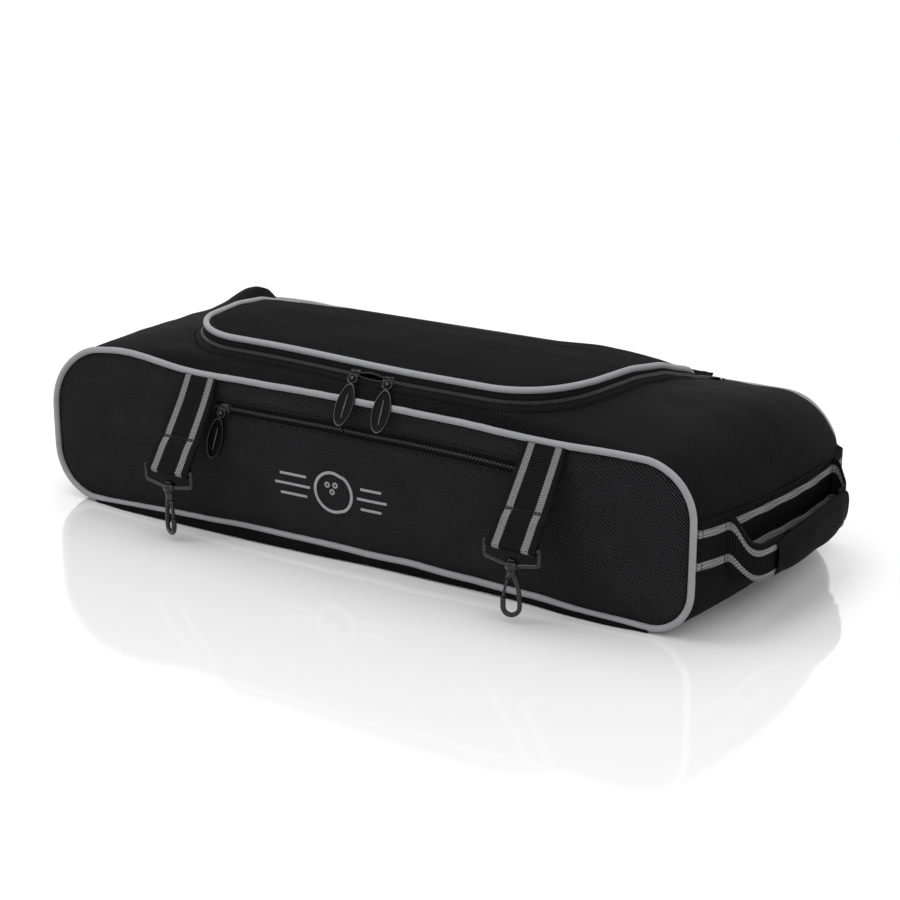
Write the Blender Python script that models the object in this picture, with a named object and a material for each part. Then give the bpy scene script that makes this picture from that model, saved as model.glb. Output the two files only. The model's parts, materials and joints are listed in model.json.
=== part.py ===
"""Soft three-ball-length accessory bag: zipped lid, front pocket, end handle and two clip straps.

Metres, +Z up. X runs along the bag, with the carrying handle at +X. The front, with the
pocket and the straps, faces -Y. The origin is the middle of the base, on the ground.
"""

import math

import bmesh
import bpy
from mathutils import Matrix, Vector

# Body
HALF_LENGTH = 0.3545  # piping centre line, from the middle to either end
HALF_DEPTH = 0.1465  # piping centre line, from the middle to front and back
BASE_Z, TOP_Z = 0.0042, 0.1535  # piping centre line, lowest and highest run
CORNERS = (0.048, 0.038, 0.048, 0.060)  # front outline: bottom left, bottom right, top right, top left
PIPING = 0.0035  # radius of the covered cord
PANEL = 0.0040  # foam-backed cloth
GUSSET_HALF = 0.1427  # the gusset stops short of the piping
END_BULGE = 0.013  # the ends swell outwards half way between front and back
GAP = 0.0003

# Lid
LID_X = (-0.212, 0.207)  # piping line at the front
LID_FLARE = (-0.050, 0.021)  # how much wider each side is at the back
LID_FRONT, LID_REAR = -0.1165, 0.1335
LID_CORNERS = (0.062, 0.066)
LID_PIPING_Z = 0.1765  # at the back
LID_RISE = 0.0080  # the lid and its zipper climb this much towards the front
LID_HINGE = (0.1370, 0.1647)  # Y and Z of the fold along the back
DECK_OPENING = 0.0095  # the deck's cut lies this far outside the lid piping

# Front pocket
POCKET_X = (-0.148, 0.188)
POCKET_Z = 0.1240
POCKET_SLOT = 0.013
POCKET_SLIDER_X = -0.134

# Zipper hardware
SLIDER_X = (0.000, 0.038)
MAIN_PULL_PIVOT = (-0.1310, 0.1760)  # Y and Z
MAIN_PULL_DIP = math.radians(44.0)  # the pulls hang over the front piping
POCKET_PULL_PIVOT = (-0.1555, 0.1205)
PULL_LENGTH, PULL_HALF_WIDTH, PULL_THICK = 0.050, 0.0092, 0.0022
PULL_EYE, PULL_NECK = 0.0044, 0.17  # half width at the eye, and where the oval starts

# Straps and hooks
STRAP_X = (-0.173, 0.207)
STRAP_HALF_WIDTH, WEBBING = 0.0245, 0.0016
STRAP_PIVOT = (-0.1492, 0.1495)  # Y and Z
STRAP_LEAN = 0.007  # the sewn end lies this far to the right of the hook
BAR_CENTRE = (-0.1915, 0.0700)
BAR_RADIUS, LOOP_RADIUS = 0.0020, 0.0036
FRAME_HALF_WIDTH = 0.0272
BOSS_Z = 0.0530
HOOK_TURN = (math.radians(-25.0), math.radians(203.0))  # how far each hook has swivelled
HOOK_RADIUS = 0.0022
GATE_PIVOT = (0.0040, 0.0385)  # X from the swivel axis, and Z

# End handle
STRIP_Z = (0.0500, 0.0990)
STRIP = 0.0018
TAB_Y = (-0.0965, 0.1045)
HANDLE_PIVOT_Z = 0.0745
HANDLE_X = 0.3920
GRIP_Y = (-0.0615, 0.0885)
HANDLE_DROOP = 0.0165

REAR_WEBBING_X = (-0.265, 0.065)
EMBLEM = (-0.010, 0.060)  # X and Z


def material(name, colour, roughness, metallic=0.0):
    made = bpy.data.materials.new(name)
    made.use_nodes = True
    shader = made.node_tree.nodes["Principled BSDF"]
    shader.inputs["Base Color"].default_value = (*colour, 1.0)
    shader.inputs["Roughness"].default_value = roughness
    shader.inputs["Metallic"].default_value = metallic
    return made


def add(name, mesh, look, origin=(0.0, 0.0, 0.0)):
    """An object whose mesh is given in world positions and whose origin is at the given point."""
    mesh.transform(Matrix.Translation(-Vector(origin)))
    mesh.materials.append(look)
    made = bpy.data.objects.new(name, mesh)
    made.location = origin
    bpy.context.scene.collection.objects.link(made)
    return made


def finish(work, name):
    bmesh.ops.recalc_face_normals(work, faces=work.faces)
    mesh = bpy.data.meshes.new(name)
    work.to_mesh(mesh)
    work.free()
    return mesh


def loft(name, rings, look, origin=(0.0, 0.0, 0.0)):
    """A closed body through rings of equally many points, capped at both ends."""
    work = bmesh.new()
    rows = [[work.verts.new(point) for point in ring] for ring in rings]
    count = len(rows[0])
    for low, high in zip(rows, rows[1:]):
        for i in range(count):
            j = (i + 1) % count
            work.faces.new((low[i], low[j], high[j], high[i]))
    work.faces.new(rows[0])
    work.faces.new(rows[-1])
    return add(name, finish(work, name), look, origin)


def box(name, low, high, look, origin=(0.0, 0.0, 0.0)):
    corners = ((0, 0), (1, 0), (1, 1), (0, 1))
    ends = (low, high)
    rings = [[(ends[i][0], ends[j][1], z) for i, j in corners] for z in (low[2], high[2])]
    return loft(name, rings, look, origin)


def cylinder(name, radius, foot, head, look, origin=(0.0, 0.0, 0.0), sides=20):
    """A round rod between two points."""
    foot, head = Vector(foot), Vector(head)
    work = bmesh.new()
    bmesh.ops.create_cone(
        work, cap_ends=True, segments=sides, radius1=radius, radius2=radius,
        depth=(head - foot).length,
    )
    turn = (head - foot).to_track_quat("Z", "Y").to_matrix().to_4x4()
    bmesh.ops.transform(
        work, matrix=Matrix.Translation((foot + head) / 2) @ turn, verts=work.verts
    )
    return add(name, finish(work, name), look, origin)


def wire(name, points, radius, look, cyclic=False, sides=2, origin=(0.0, 0.0, 0.0)):
    """A round cord or rod along the points, made as a bevelled curve and turned into a mesh."""
    curve = bpy.data.curves.new(name + "_path", "CURVE")
    curve.dimensions = "3D"
    curve.bevel_depth = radius
    curve.bevel_resolution = sides
    curve.use_fill_caps = True
    spline = curve.splines.new("POLY")
    spline.points.add(len(points) - 1)
    for slot, point in zip(spline.points, points):
        slot.co = (*point, 1.0)
    spline.use_cyclic_u = cyclic
    guide = bpy.data.objects.new(name + "_path", curve)
    bpy.context.scene.collection.objects.link(guide)
    bpy.context.view_layer.update()
    mesh = bpy.data.meshes.new_from_object(guide.evaluated_get(bpy.context.evaluated_depsgraph_get()))
    bpy.data.objects.remove(guide)
    work = bmesh.new()
    work.from_mesh(mesh)
    bmesh.ops.remove_doubles(work, verts=work.verts, dist=1e-6)
    return add(name, finish(work, name), look, origin)


def boolean(target, operand, operation):
    """Cut the operand out of the target, or join it on, and hide the operand."""
    step = target.modifiers.new(operand.name, "BOOLEAN")
    step.operation = operation
    step.solver = "EXACT"
    step.object = operand
    operand.hide_render = True
    operand.display_type = "WIRE"


def arc(centre, radius, start, end, steps):
    angles = [math.radians(start + (end - start) * i / steps) for i in range(steps + 1)]
    return [(centre[0] + radius * math.cos(a), centre[1] + radius * math.sin(a)) for a in angles]


def rounded(points, radius, steps=4):
    """A closed polygon with each corner rounded off, as cut back points on a quadratic curve."""
    out = []
    for i, corner in enumerate(points):
        corner = Vector(corner)
        before, after = Vector(points[i - 1]), Vector(points[(i + 1) % len(points)])
        start = corner + (before - corner).normalized() * radius
        end = corner + (after - corner).normalized() * radius
        for k in range(steps + 1):
            t = k / steps
            out.append((1 - t) ** 2 * start + 2 * t * (1 - t) * corner + t * t * end)
    return out


def bezier(p0, p1, p2, p3, t):
    s = 1 - t
    return tuple(
        s**3 * a + 3 * s * s * t * b + 3 * s * t * t * c + t**3 * d
        for a, b, c, d in zip(p0, p1, p2, p3)
    )


def outline(steps=7):
    """The bag's front outline as (x, z, normal x, normal z), one list for each corner."""
    corners = []
    for k, radius in enumerate(CORNERS):
        right, high = k in (1, 2), k in (2, 3)
        x = HALF_LENGTH - radius if right else radius - HALF_LENGTH
        z = TOP_Z - radius if high else BASE_Z + radius
        corner = []
        for i in range(steps + 1):
            angle = math.radians(180 + 90 * k + 90 * i / steps)
            nx, nz = math.cos(angle), math.sin(angle)
            corner.append((x + radius * nx, z + radius * nz, nx, nz))
        corners.append(corner)
    return corners


def swell(y, nx, nz):
    """How far the gusset stands outside the piping line at this depth and direction."""
    ends = nx * nx * (0.002 + END_BULGE * (1 - (y / GUSSET_HALF) ** 2))
    return ends + (nz * nz * BASE_Z if nz < 0 else 0.0)


def shell(name, samples, y_range, out, thick, look, stations=8):
    """A wall that follows the gusset, with its outer face this far outside it."""
    rings = []
    for i in range(stations + 1):
        y = y_range[0] + (y_range[1] - y_range[0]) * i / stations
        outer, inner = [], []
        for x, z, nx, nz in samples:
            reach = swell(y, nx, nz) + out
            outer.append((x + nx * reach, y, z + nz * reach))
            inner.append((x + nx * (reach - thick), y, z + nz * (reach - thick)))
        rings.append(outer + inner[::-1])
    return loft(name, rings, look)


def lid_line(offset, steps=8):
    """The lid's piping line in X and Y, from the left rear round the front, moved outwards."""
    left, right = LID_CORNERS[0] + offset, LID_CORNERS[1] + offset
    x0, x1, y0 = LID_X[0] - offset, LID_X[1] + offset, LID_FRONT - offset
    path = [(x0, LID_REAR)]
    path += arc((x0 + left, y0 + left), left, 180, 270, steps)
    path += arc((x1 - right, y0 + right), right, 270, 360, steps)
    path.append((x1, LID_REAR))
    flared = []
    for x, y in path:
        share = max(0.0, (y - LID_FRONT) / (LID_REAR - LID_FRONT))
        flared.append((x + LID_FLARE[x > 0] * share, y))
    return flared


def rise(y):
    return LID_RISE * (LID_REAR - y) / (LID_REAR - LID_FRONT)


def lid_band(name, corners, look):
    """A band round the lid, from its section's corners as (offset, height, share of the rise)."""
    lines = [lid_line(offset) for offset, _, _ in corners]
    rings = [
        [(*line[i], height + share * rise(line[i][1])) for line, (_, height, share) in zip(lines, corners)]
        for i in range(len(lines[0]))
    ]
    return loft(name, rings, look)


def square(offset, height, half):
    corners = ((-1, -1), (1, -1), (1, 1), (-1, 1))
    return [(offset + a * half, height + b * half, 1) for a, b in corners]


def ribbon(path, thick):
    """The closed outline of webbing that follows the path in a plane."""
    sides = ([], [])
    for i, point in enumerate(path):
        ahead, behind = path[min(i + 1, len(path) - 1)], path[max(i - 1, 0)]
        run = Vector((ahead[0] - behind[0], ahead[1] - behind[1])).normalized() * thick / 2
        sides[0].append((point[0] + run.y, point[1] - run.x))
        sides[1].append((point[0] - run.y, point[1] + run.x))
    return sides[0] + sides[1][::-1]


def shift(path, distance):
    """The same path moved sideways, to the right of its direction."""
    half = len(path)
    return ribbon(path, 2 * distance)[:half]


for old in list(bpy.data.objects):
    bpy.data.objects.remove(old, do_unlink=True)

CLOTH = material("black_polyester", (0.016, 0.016, 0.018), 0.85)
DARK_CLOTH = material("black_gusset_cloth", (0.013, 0.013, 0.015), 0.85)
LINING = material("lining", (0.03, 0.03, 0.032), 0.8)
GREY = material("grey_piping", (0.36, 0.36, 0.37), 0.6)
WEB = material("black_webbing", (0.018, 0.018, 0.02), 0.75)
TAPE = material("zipper_tape", (0.012, 0.012, 0.013), 0.8)
COIL = material("zipper_coil", (0.02, 0.02, 0.022), 0.4)
METAL = material("dark_metal", (0.10, 0.10, 0.11), 0.35, 0.9)
RUBBER = material("pull_rubber", (0.05, 0.05, 0.055), 0.5)
BOARD = material("base_board", (0.06, 0.06, 0.06), 0.6)
THREAD = material("emblem_thread", (0.45, 0.45, 0.46), 0.6)

bottom_left, bottom_right, top_right, top_left = outline()
loop = bottom_left + bottom_right + top_right + top_left

# Front and back panels, inside their piping
INSET = PIPING + 0.0005
for name, side in (("front_panel", -1), ("back_panel", 1)):
    faces = (side * (HALF_DEPTH + 0.0015), side * (HALF_DEPTH - 0.0025))
    rings = [[(x - nx * INSET, y, z - nz * INSET) for x, z, nx, nz in loop] for y in faces]
    panel = loft(name, rings, CLOTH)
    if side < 0:
        slot = box(
            "pocket_slot",
            (POCKET_X[0], -0.16, POCKET_Z - POCKET_SLOT / 2),
            (POCKET_X[1], -0.13, POCKET_Z + POCKET_SLOT / 2),
            CLOTH,
        )
        boolean(panel, slot, "DIFFERENCE")
for name, y in (("front_piping", -HALF_DEPTH), ("back_piping", HALF_DEPTH)):
    wire(name, [(x, y, z) for x, z, _, _ in loop], PIPING, GREY, cyclic=True)

# Gusset: both ends, the base and the deck round the lid
wall = (-GUSSET_HALF, GUSSET_HALF)
shell("left_end_panel", top_left + bottom_left, wall, 0.0, PANEL, DARK_CLOTH)
shell("right_end_panel", bottom_right + top_right, wall, 0.0, PANEL, DARK_CLOTH)
base_x = (bottom_left[-1][0] + GAP, bottom_right[0][0] - GAP)
box("bottom_panel", (base_x[0], wall[0], 0.0), (base_x[1], wall[1], PANEL), DARK_CLOTH)
box("base_board", (-0.290, -0.135, 0.0045), (0.290, 0.135, 0.0070), BOARD)
deck_x = (top_left[0][0] + GAP, top_right[-1][0] - GAP)
cut = lid_line(DECK_OPENING)
cut[0], cut[-1] = (cut[0][0], wall[1]), (cut[-1][0], wall[1])
deck = [(deck_x[0], wall[1]), (deck_x[0], wall[0]), (deck_x[1], wall[0]), (deck_x[1], wall[1])]
deck += cut[::-1]
loft("top_deck", [[(x, y, z) for x, y in deck] for z in (TOP_Z - PANEL, TOP_Z)], CLOTH)
box(
    "hinge_strip",
    (cut[0][0] + 0.0020, LID_HINGE[0] + GAP, TOP_Z - PANEL),
    (cut[-1][0] - 0.0020, wall[1], TOP_Z + 0.0020),
    CLOTH,
)

# Lid, with its half of the main zipper, and the deck's half
lid = lid_line(-0.0043)
loft("lid_panel", [[(x, y, z + rise(y)) for x, y in lid] for z in (0.1740, 0.1780)], CLOTH)
wire("lid_piping", [(x, y, LID_PIPING_Z + rise(y)) for x, y in lid_line(0.0)], PIPING, GREY)
lid_half = [(0.0040, 0.1683, 1), (0.0030, 0.1683, 1), (0.0005, 0.1722, 1), (0.0015, 0.1722, 1)]
deck_half = [(0.0123, 0.1541, 0), (0.0113, 0.1541, 0), (0.0060, 0.1620, 1), (0.0070, 0.1620, 1)]
lid_band("lid_zip_tape", lid_half, TAPE)
lid_band("lid_zip_coil", square(0.0038, 0.1663, 0.0009), COIL)
lid_band("main_zip_coil", square(0.0050, 0.1635, 0.0008), COIL)
lid_band("main_zip_tape", deck_half, TAPE)

# Front pocket: zipper in its slot and the pouch behind
low, high = POCKET_Z - POCKET_SLOT / 2 + GAP, POCKET_Z + POCKET_SLOT / 2 - GAP
zip_x = (POCKET_X[0] + GAP, POCKET_X[1] - GAP)
box("pocket_zip_tape_lower", (zip_x[0], -0.1470, low), (zip_x[1], -0.1460, POCKET_Z - 0.0015), TAPE)
box("pocket_zip_tape_upper", (zip_x[0], -0.1470, POCKET_Z + 0.0015), (zip_x[1], -0.1460, high), TAPE)
cylinder(
    "pocket_zip_coil", 0.0012, (zip_x[0], -0.1466, POCKET_Z), (zip_x[1], -0.1466, POCKET_Z), COIL, sides=12
)
box("pocket_pouch", (-0.152, -0.1370, 0.020), (0.192, -0.1360, 0.140), LINING)

# Sliders and pulls. Each pull is modelled lying forwards and then turned to hang as it rests
pull_sides = [(PULL_EYE, 0.0), (PULL_EYE, -0.12 * PULL_LENGTH)]
for k in range(13):
    across, along = math.sin(math.pi * (k + 0.6) / 13.2), math.cos(math.pi * (k + 0.6) / 13.2)
    middle, reach = (1 + PULL_NECK) / 2, (1 - PULL_NECK) / 2
    pull_sides.append((PULL_HALF_WIDTH * across, -(middle - reach * along) * PULL_LENGTH))
pull_outline = pull_sides + [(-x, y) for x, y in pull_sides[::-1]]


def pull(name, pivot, dip):
    rings = [[(x, y, z) for x, y in pull_outline] for z in (-PULL_THICK / 2, PULL_THICK / 2)]
    made = loft(name, rings, RUBBER)
    made.rotation_euler = (dip, 0.0, 0.0)
    made.location = pivot
    return made


for side, x in zip(("left", "right"), SLIDER_X):
    box(
        "main_slider_" + side, (x - 0.005, -0.1290, 0.1712), (x + 0.005, -0.1232, 0.1785), METAL,
        origin=(x, -0.1260, 0.1750),
    )
    pull("main_pull_" + side, (x, *MAIN_PULL_PIVOT), MAIN_PULL_DIP)
box(
    "pocket_slider", (POCKET_SLIDER_X - 0.0045, -0.1535, 0.1190), (POCKET_SLIDER_X + 0.0045, -0.1484, 0.1290),
    METAL, origin=(POCKET_SLIDER_X, -0.1510, POCKET_Z),
)
pull("pocket_pull", (POCKET_SLIDER_X, *POCKET_PULL_PIVOT), math.radians(90.0))

# Clip straps: webbing that leaves the seam, passes round the frame's bar and comes back up
FALL = (STRAP_PIVOT, (-0.1580, 0.1320), (-0.1835, 0.0870), (BAR_CENTRE[0] - LOOP_RADIUS, BAR_CENTRE[1]))
down = [bezier(*FALL, i / 14) for i in range(15)]
turn = arc(BAR_CENTRE, LOOP_RADIUS, 180, 360, 8)
back_up = shift(down, -0.0022)[7:11][::-1]
strap_path = down[:-1] + turn + [(turn[-1][0] - 0.0004, BAR_CENTRE[1] + 0.0065)] + back_up
strap_section = ribbon(strap_path, WEBBING)


def clip_strap(side, x, turn_by):
    fall = STRAP_PIVOT[1] - BAR_CENTRE[1]
    rings = [
        [(edge + STRAP_LEAN * max(0.0, z - BAR_CENTRE[1]) / fall, y, z) for y, z in strap_section]
        for edge in (x - STRAP_HALF_WIDTH, x + STRAP_HALF_WIDTH)
    ]
    loft("strap_" + side, rings, WEB, origin=(x, *STRAP_PIVOT))

    bar = (x, *BAR_CENTRE)
    y = BAR_CENTRE[0]
    trapezoid = [(-FRAME_HALF_WIDTH, 0.0700), (-FRAME_HALF_WIDTH, 0.0610), (-0.0050, 0.0530),
                 (0.0050, 0.0530), (FRAME_HALF_WIDTH, 0.0610), (FRAME_HALF_WIDTH, 0.0700)]
    path = [(x + p.x, y, p.y) for p in rounded(trapezoid, 0.0022)]
    frame = wire("hook_frame_" + side, path, BAR_RADIUS, METAL, cyclic=True, origin=bar)
    boss = cylinder("boss_" + side, 0.0056, (x, y, BOSS_Z - 0.0037), (x, y, BOSS_Z + 0.0037), METAL)
    bore = cylinder("bore_" + side, 0.0026, (x, y, BOSS_Z - 0.01), (x, y, BOSS_Z + 0.01), METAL)
    boolean(frame, boss, "UNION")
    boolean(frame, bore, "DIFFERENCE")

    axle = Matrix.Translation((x, y, 0.0)) @ Matrix.Rotation(turn_by, 4, "Z")

    def at(px, pz):
        return tuple(axle @ Vector((px, 0.0, pz)))

    nose = [(0.0, 0.0470), (-0.0028, 0.0425), (-0.0056, 0.0350), (-0.0070, 0.0260)]
    nose += arc((0.0, 0.0142), 0.0072, 180, 360, 10) + [(0.0072, 0.0225)]
    hook = wire("snap_hook_" + side, [at(*p) for p in nose], HOOK_RADIUS, METAL, origin=(x, y, BOSS_Z))
    stem = cylinder("stem_" + side, 0.0020, (x, y, 0.0460), (x, y, 0.0585), METAL)
    collar = cylinder("collar_" + side, 0.0042, (x, y, 0.0425), (x, y, 0.0489), METAL)
    head = cylinder("head_" + side, 0.0036, (x, y, 0.0571), (x, y, 0.0590), METAL)
    lug = cylinder("lug_" + side, 0.0018, at(0.0015, 0.0445), at(0.0042, 0.0408), METAL)
    for piece in (stem, collar, head, lug):
        boolean(hook, piece, "UNION")
    cylinder(
        "gate_" + side, 0.0013, at(GATE_PIVOT[0] - 0.0004, GATE_PIVOT[1] + 0.0007), at(0.0070, 0.0240), METAL,
        origin=at(*GATE_PIVOT), sides=12,
    )


for side, x, turn_by in zip(("left", "right"), STRAP_X, HOOK_TURN):
    clip_strap(side, x, turn_by)

# End handle: a strip sewn across the end, a tab at each root and a drooping grip on webbing
strip = [(HALF_LENGTH, z, 1.0, 0.0) for z in STRIP_Z]
shell("end_handle_strip", strip, (-0.1424, 0.1424), GAP + STRIP, STRIP, WEB)
tabs = (("end_handle_tab_front", (-0.1424, TAB_Y[0])), ("end_handle_tab_rear", (TAB_Y[1], 0.1424)))
for name, span in tabs:
    shell(name, strip, span, 2 * (GAP + STRIP), STRIP, WEB, stations=4)


def root(y):
    return HALF_LENGTH + swell(y, 1.0, 0.0) + 2 * GAP + 1.5 * STRIP


front, rear = TAB_Y[0] + 0.0020, TAB_Y[1] - 0.0020
leave = ((root(front), front), (root(front) + 0.008, front + 0.010),
         (HANDLE_X, GRIP_Y[0] - 0.014), (HANDLE_X, GRIP_Y[0]))
land = ((HANDLE_X, GRIP_Y[1]), (HANDLE_X, GRIP_Y[1] + 0.006),
        (root(rear) + 0.005, rear - 0.006), (root(rear), rear))
plan = [bezier(*leave, i / 8) for i in range(9)] + [bezier(*land, i / 6) for i in range(7)]
half = (STRIP_Z[1] - STRIP_Z[0]) / 2
rings = []
for i, (x, y) in enumerate(plan):
    ahead, behind = plan[min(i + 1, len(plan) - 1)], plan[max(i - 1, 0)]
    run = Vector((ahead[0] - behind[0], ahead[1] - behind[1])).normalized()
    across = Vector((run.y, -run.x)) * STRIP / 2
    share = max(0.0, (x - root(front)) / (HANDLE_X - root(front)))
    z = HANDLE_PIVOT_Z - HANDLE_DROOP * share**1.5
    rings.append([
        (x + sx * across.x, y + sx * across.y, z + sz * half) for sx, sz in ((-1, -1), (1, -1), (1, 1), (-1, 1))
    ])
pivot = (root(front), 0.004, HANDLE_PIVOT_Z)
loft("end_handle_webbing", rings, WEB, origin=pivot)
z = HANDLE_PIVOT_Z - HANDLE_DROOP
sleeve = rounded([(-0.0065, -0.028), (0.0065, -0.028), (0.0065, 0.028), (-0.0065, 0.028)], 0.0050)
rings = [[(HANDLE_X + p.x, y, z + p.y) for p in sleeve] for y in GRIP_Y]
grip = loft("end_handle_grip", rings, CLOTH, origin=pivot)
passage = box(
    "grip_passage", (HANDLE_X - STRIP / 2 - GAP, -0.2, z - half - GAP),
    (HANDLE_X + STRIP / 2 + GAP, 0.2, z + half + GAP), CLOTH,
)
boolean(grip, passage, "DIFFERENCE")

# Webbing sewn along the back's upper edge, and the embroidered ring on the front
box("rear_webbing", (REAR_WEBBING_X[0], 0.1503, 0.1040), (REAR_WEBBING_X[1], 0.1521, 0.1525), WEB)
ring = cylinder("emblem", 0.021, (EMBLEM[0], -0.1490, EMBLEM[1]), (EMBLEM[0], -0.1483, EMBLEM[1]), THREAD, sides=40)
hole = cylinder("emblem_hole", 0.018, (EMBLEM[0], -0.16, EMBLEM[1]), (EMBLEM[0], -0.14, EMBLEM[1]), THREAD, sides=40)
boolean(ring, hole, "DIFFERENCE")
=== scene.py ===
"""Looks of the soft accessory bag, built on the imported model's frame."""

from math import cos, dist, exp, hypot, pi, radians, sin, sqrt

import bmesh
import bpy
from mathutils import Matrix, Vector, noise
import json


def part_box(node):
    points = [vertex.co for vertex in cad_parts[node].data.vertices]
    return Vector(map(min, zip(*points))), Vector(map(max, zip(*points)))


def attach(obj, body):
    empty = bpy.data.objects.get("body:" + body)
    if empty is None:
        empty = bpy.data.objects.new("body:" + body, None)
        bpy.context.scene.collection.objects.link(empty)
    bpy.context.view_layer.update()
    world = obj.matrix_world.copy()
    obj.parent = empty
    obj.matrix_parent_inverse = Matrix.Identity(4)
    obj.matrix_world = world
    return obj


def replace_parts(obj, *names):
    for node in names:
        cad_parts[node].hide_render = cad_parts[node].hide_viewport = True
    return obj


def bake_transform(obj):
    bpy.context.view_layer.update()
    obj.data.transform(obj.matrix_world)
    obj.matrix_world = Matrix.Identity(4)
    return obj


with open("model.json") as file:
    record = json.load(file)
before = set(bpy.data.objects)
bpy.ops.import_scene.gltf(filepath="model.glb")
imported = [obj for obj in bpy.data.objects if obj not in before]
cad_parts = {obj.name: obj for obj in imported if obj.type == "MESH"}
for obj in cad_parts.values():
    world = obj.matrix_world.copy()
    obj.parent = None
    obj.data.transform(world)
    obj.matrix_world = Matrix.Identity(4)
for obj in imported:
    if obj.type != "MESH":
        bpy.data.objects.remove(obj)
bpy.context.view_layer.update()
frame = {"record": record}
JOINTS = {j["name"]: j for j in frame["record"]["behaviour"]["joints"]}

RIB = 0.0022  # pitch of the webbing's ribs
WEB_THICK = 0.0017  # webbing on the end and along the back
UP, RIGHT = Vector((0, 0, 1)), Vector((1, 0, 0))
TO_FRONT, TO_BACK = Vector((0, -1, 0)), Vector((0, 1, 0))

# ---- helpers


def lerp(a, b, t):
    return a + (b - a) * t


def ease(t):
    t = min(1.0, max(0.0, t))
    return t * t * (3 - 2 * t)


def spread(a, b, n):
    """Evenly spaced values from a to b, in n steps."""
    return [lerp(a, b, i / n) for i in range(n + 1)]


def vec(x, y, z):
    return Vector((x, y, z))


def bell(x, centre, width):
    """1 at the centre, falling away smoothly on both sides."""
    return exp(-(((x - centre) / width) ** 2))


def curve_at(table, x):
    """Smooth value at x through a short table of (x, value)."""
    if x <= table[0][0]:
        return table[0][1]
    for (x0, v0), (x1, v1) in zip(table, table[1:]):
        if x <= x1:
            return lerp(v0, v1, ease((x - x0) / (x1 - x0)) * 0.4 + 0.6 * (x - x0) / (x1 - x0))
    return table[-1][1]


def rough(p, scale, seed=0.0):
    return noise.noise(vec(p[0] / scale + seed, p[1] / scale - seed, p[2] / scale + 0.37 * seed))


def bezier(p0, p1, p2, p3, t):
    s = 1 - t
    return s**3 * Vector(p0) + 3 * s * s * t * Vector(p1) + 3 * s * t * t * Vector(p2) + t**3 * Vector(p3)


def length_of(points):
    return sum((Vector(b) - Vector(a)).length for a, b in zip(points, points[1:]))


def headings(path):
    """The direction of travel at each point of a path."""
    last = len(path) - 1
    return [(path[min(i + 1, last)] - path[max(i - 1, 0)]).normalized() for i in range(last + 1)]


def turned(degrees, axis):
    return Matrix.Rotation(radians(degrees), 4, axis)


def centre(node):
    """The middle of a CAD node's box."""
    return [(a + b) / 2 for a, b in zip(*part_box(node))]


def pivot_of(joint):
    return Vector(JOINTS[joint]["pos_m"])


def resample(points, count, closed=False):
    """Evenly spaced points along a polyline."""
    points = [Vector(p) for p in points]
    if closed:
        points = points + [points[0]]
    runs = [0.0]
    for a, b in zip(points, points[1:]):
        runs.append(runs[-1] + (b - a).length)
    out, k = [], 0
    steps = count if closed else count - 1
    for i in range(count):
        want = runs[-1] * i / steps
        while k < len(runs) - 2 and runs[k + 1] < want:
            k += 1
        share = (want - runs[k]) / max(1e-9, runs[k + 1] - runs[k])
        out.append(points[k].lerp(points[k + 1], share))
    return out


def thing(name, verts, faces, look, body, uvs=None, weld=0.0):
    """A mesh object that rides on a body. uvs has one pair for each vertex, in metres."""
    mesh = bpy.data.meshes.new(name)
    mesh.from_pydata([tuple(v) for v in verts], [], faces)
    if uvs:
        layer = mesh.uv_layers.new(name="UVMap")
        for loop in mesh.loops:
            layer.data[loop.index].uv = uvs[loop.vertex_index]
    if weld:
        work = bmesh.new()
        work.from_mesh(mesh)
        bmesh.ops.remove_doubles(work, verts=work.verts, dist=weld)
        work.to_mesh(mesh)
        work.free()
    mesh.materials.append(look)
    mesh.shade_smooth()
    made = bpy.data.objects.new(name, mesh)
    bpy.context.scene.collection.objects.link(made)
    if body:
        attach(made, body)
    return made


def stacked(rows, n, start=0):
    """Faces of a stack of rings of n points: its sides, then its two ends."""
    faces = []
    for i in range(rows - 1):
        for k in range(n):
            a, b = start + i * n + k, start + i * n + (k + 1) % n
            faces.append((a, b, b + n, a + n))
    last = start + (rows - 1) * n
    return faces + [tuple(range(start, start + n))[::-1], tuple(range(last, last + n))]


class Grid:
    """Patches of quads, gathered into one mesh."""

    def __init__(self):
        self.verts, self.faces, self.uvs = [], [], []

    def patch(self, f, nu, nv, wrap_u=False, flip=False):
        start = len(self.verts)
        cols = nu if wrap_u else nu + 1
        for j in range(nv + 1):
            for i in range(cols):
                point, uv = f(i / nu, j / nv)
                self.verts.append(point)
                self.uvs.append(uv)
        for j in range(nv):
            for i in range(nu):
                a, b = start + j * cols + i, start + j * cols + (i + 1) % cols
                quad = (a, b, b + cols, a + cols)
                self.faces.append(quad[::-1] if flip else quad)
        return self

    def make(self, name, look, body, weld=0.0, thick=0.0):
        made = thing(name, self.verts, self.faces, look, body, self.uvs, weld=weld)
        if thick:
            step = made.modifiers.new("thickness", "SOLIDIFY")
            step.thickness, step.offset = thick, -1.0
        return made


def frames_along(points, up, closed=False):
    """Tangent, side and upward direction at each point, as close to up as possible."""
    out, n = [], len(points)
    for i, p in enumerate(points):
        ahead = points[(i + 1) % n] if closed or i < n - 1 else p
        behind = points[i - 1] if closed or i else p
        t = (ahead - behind).normalized()
        side = t.cross(up).normalized()
        out.append((t, side, side.cross(t).normalized()))
    return out


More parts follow.
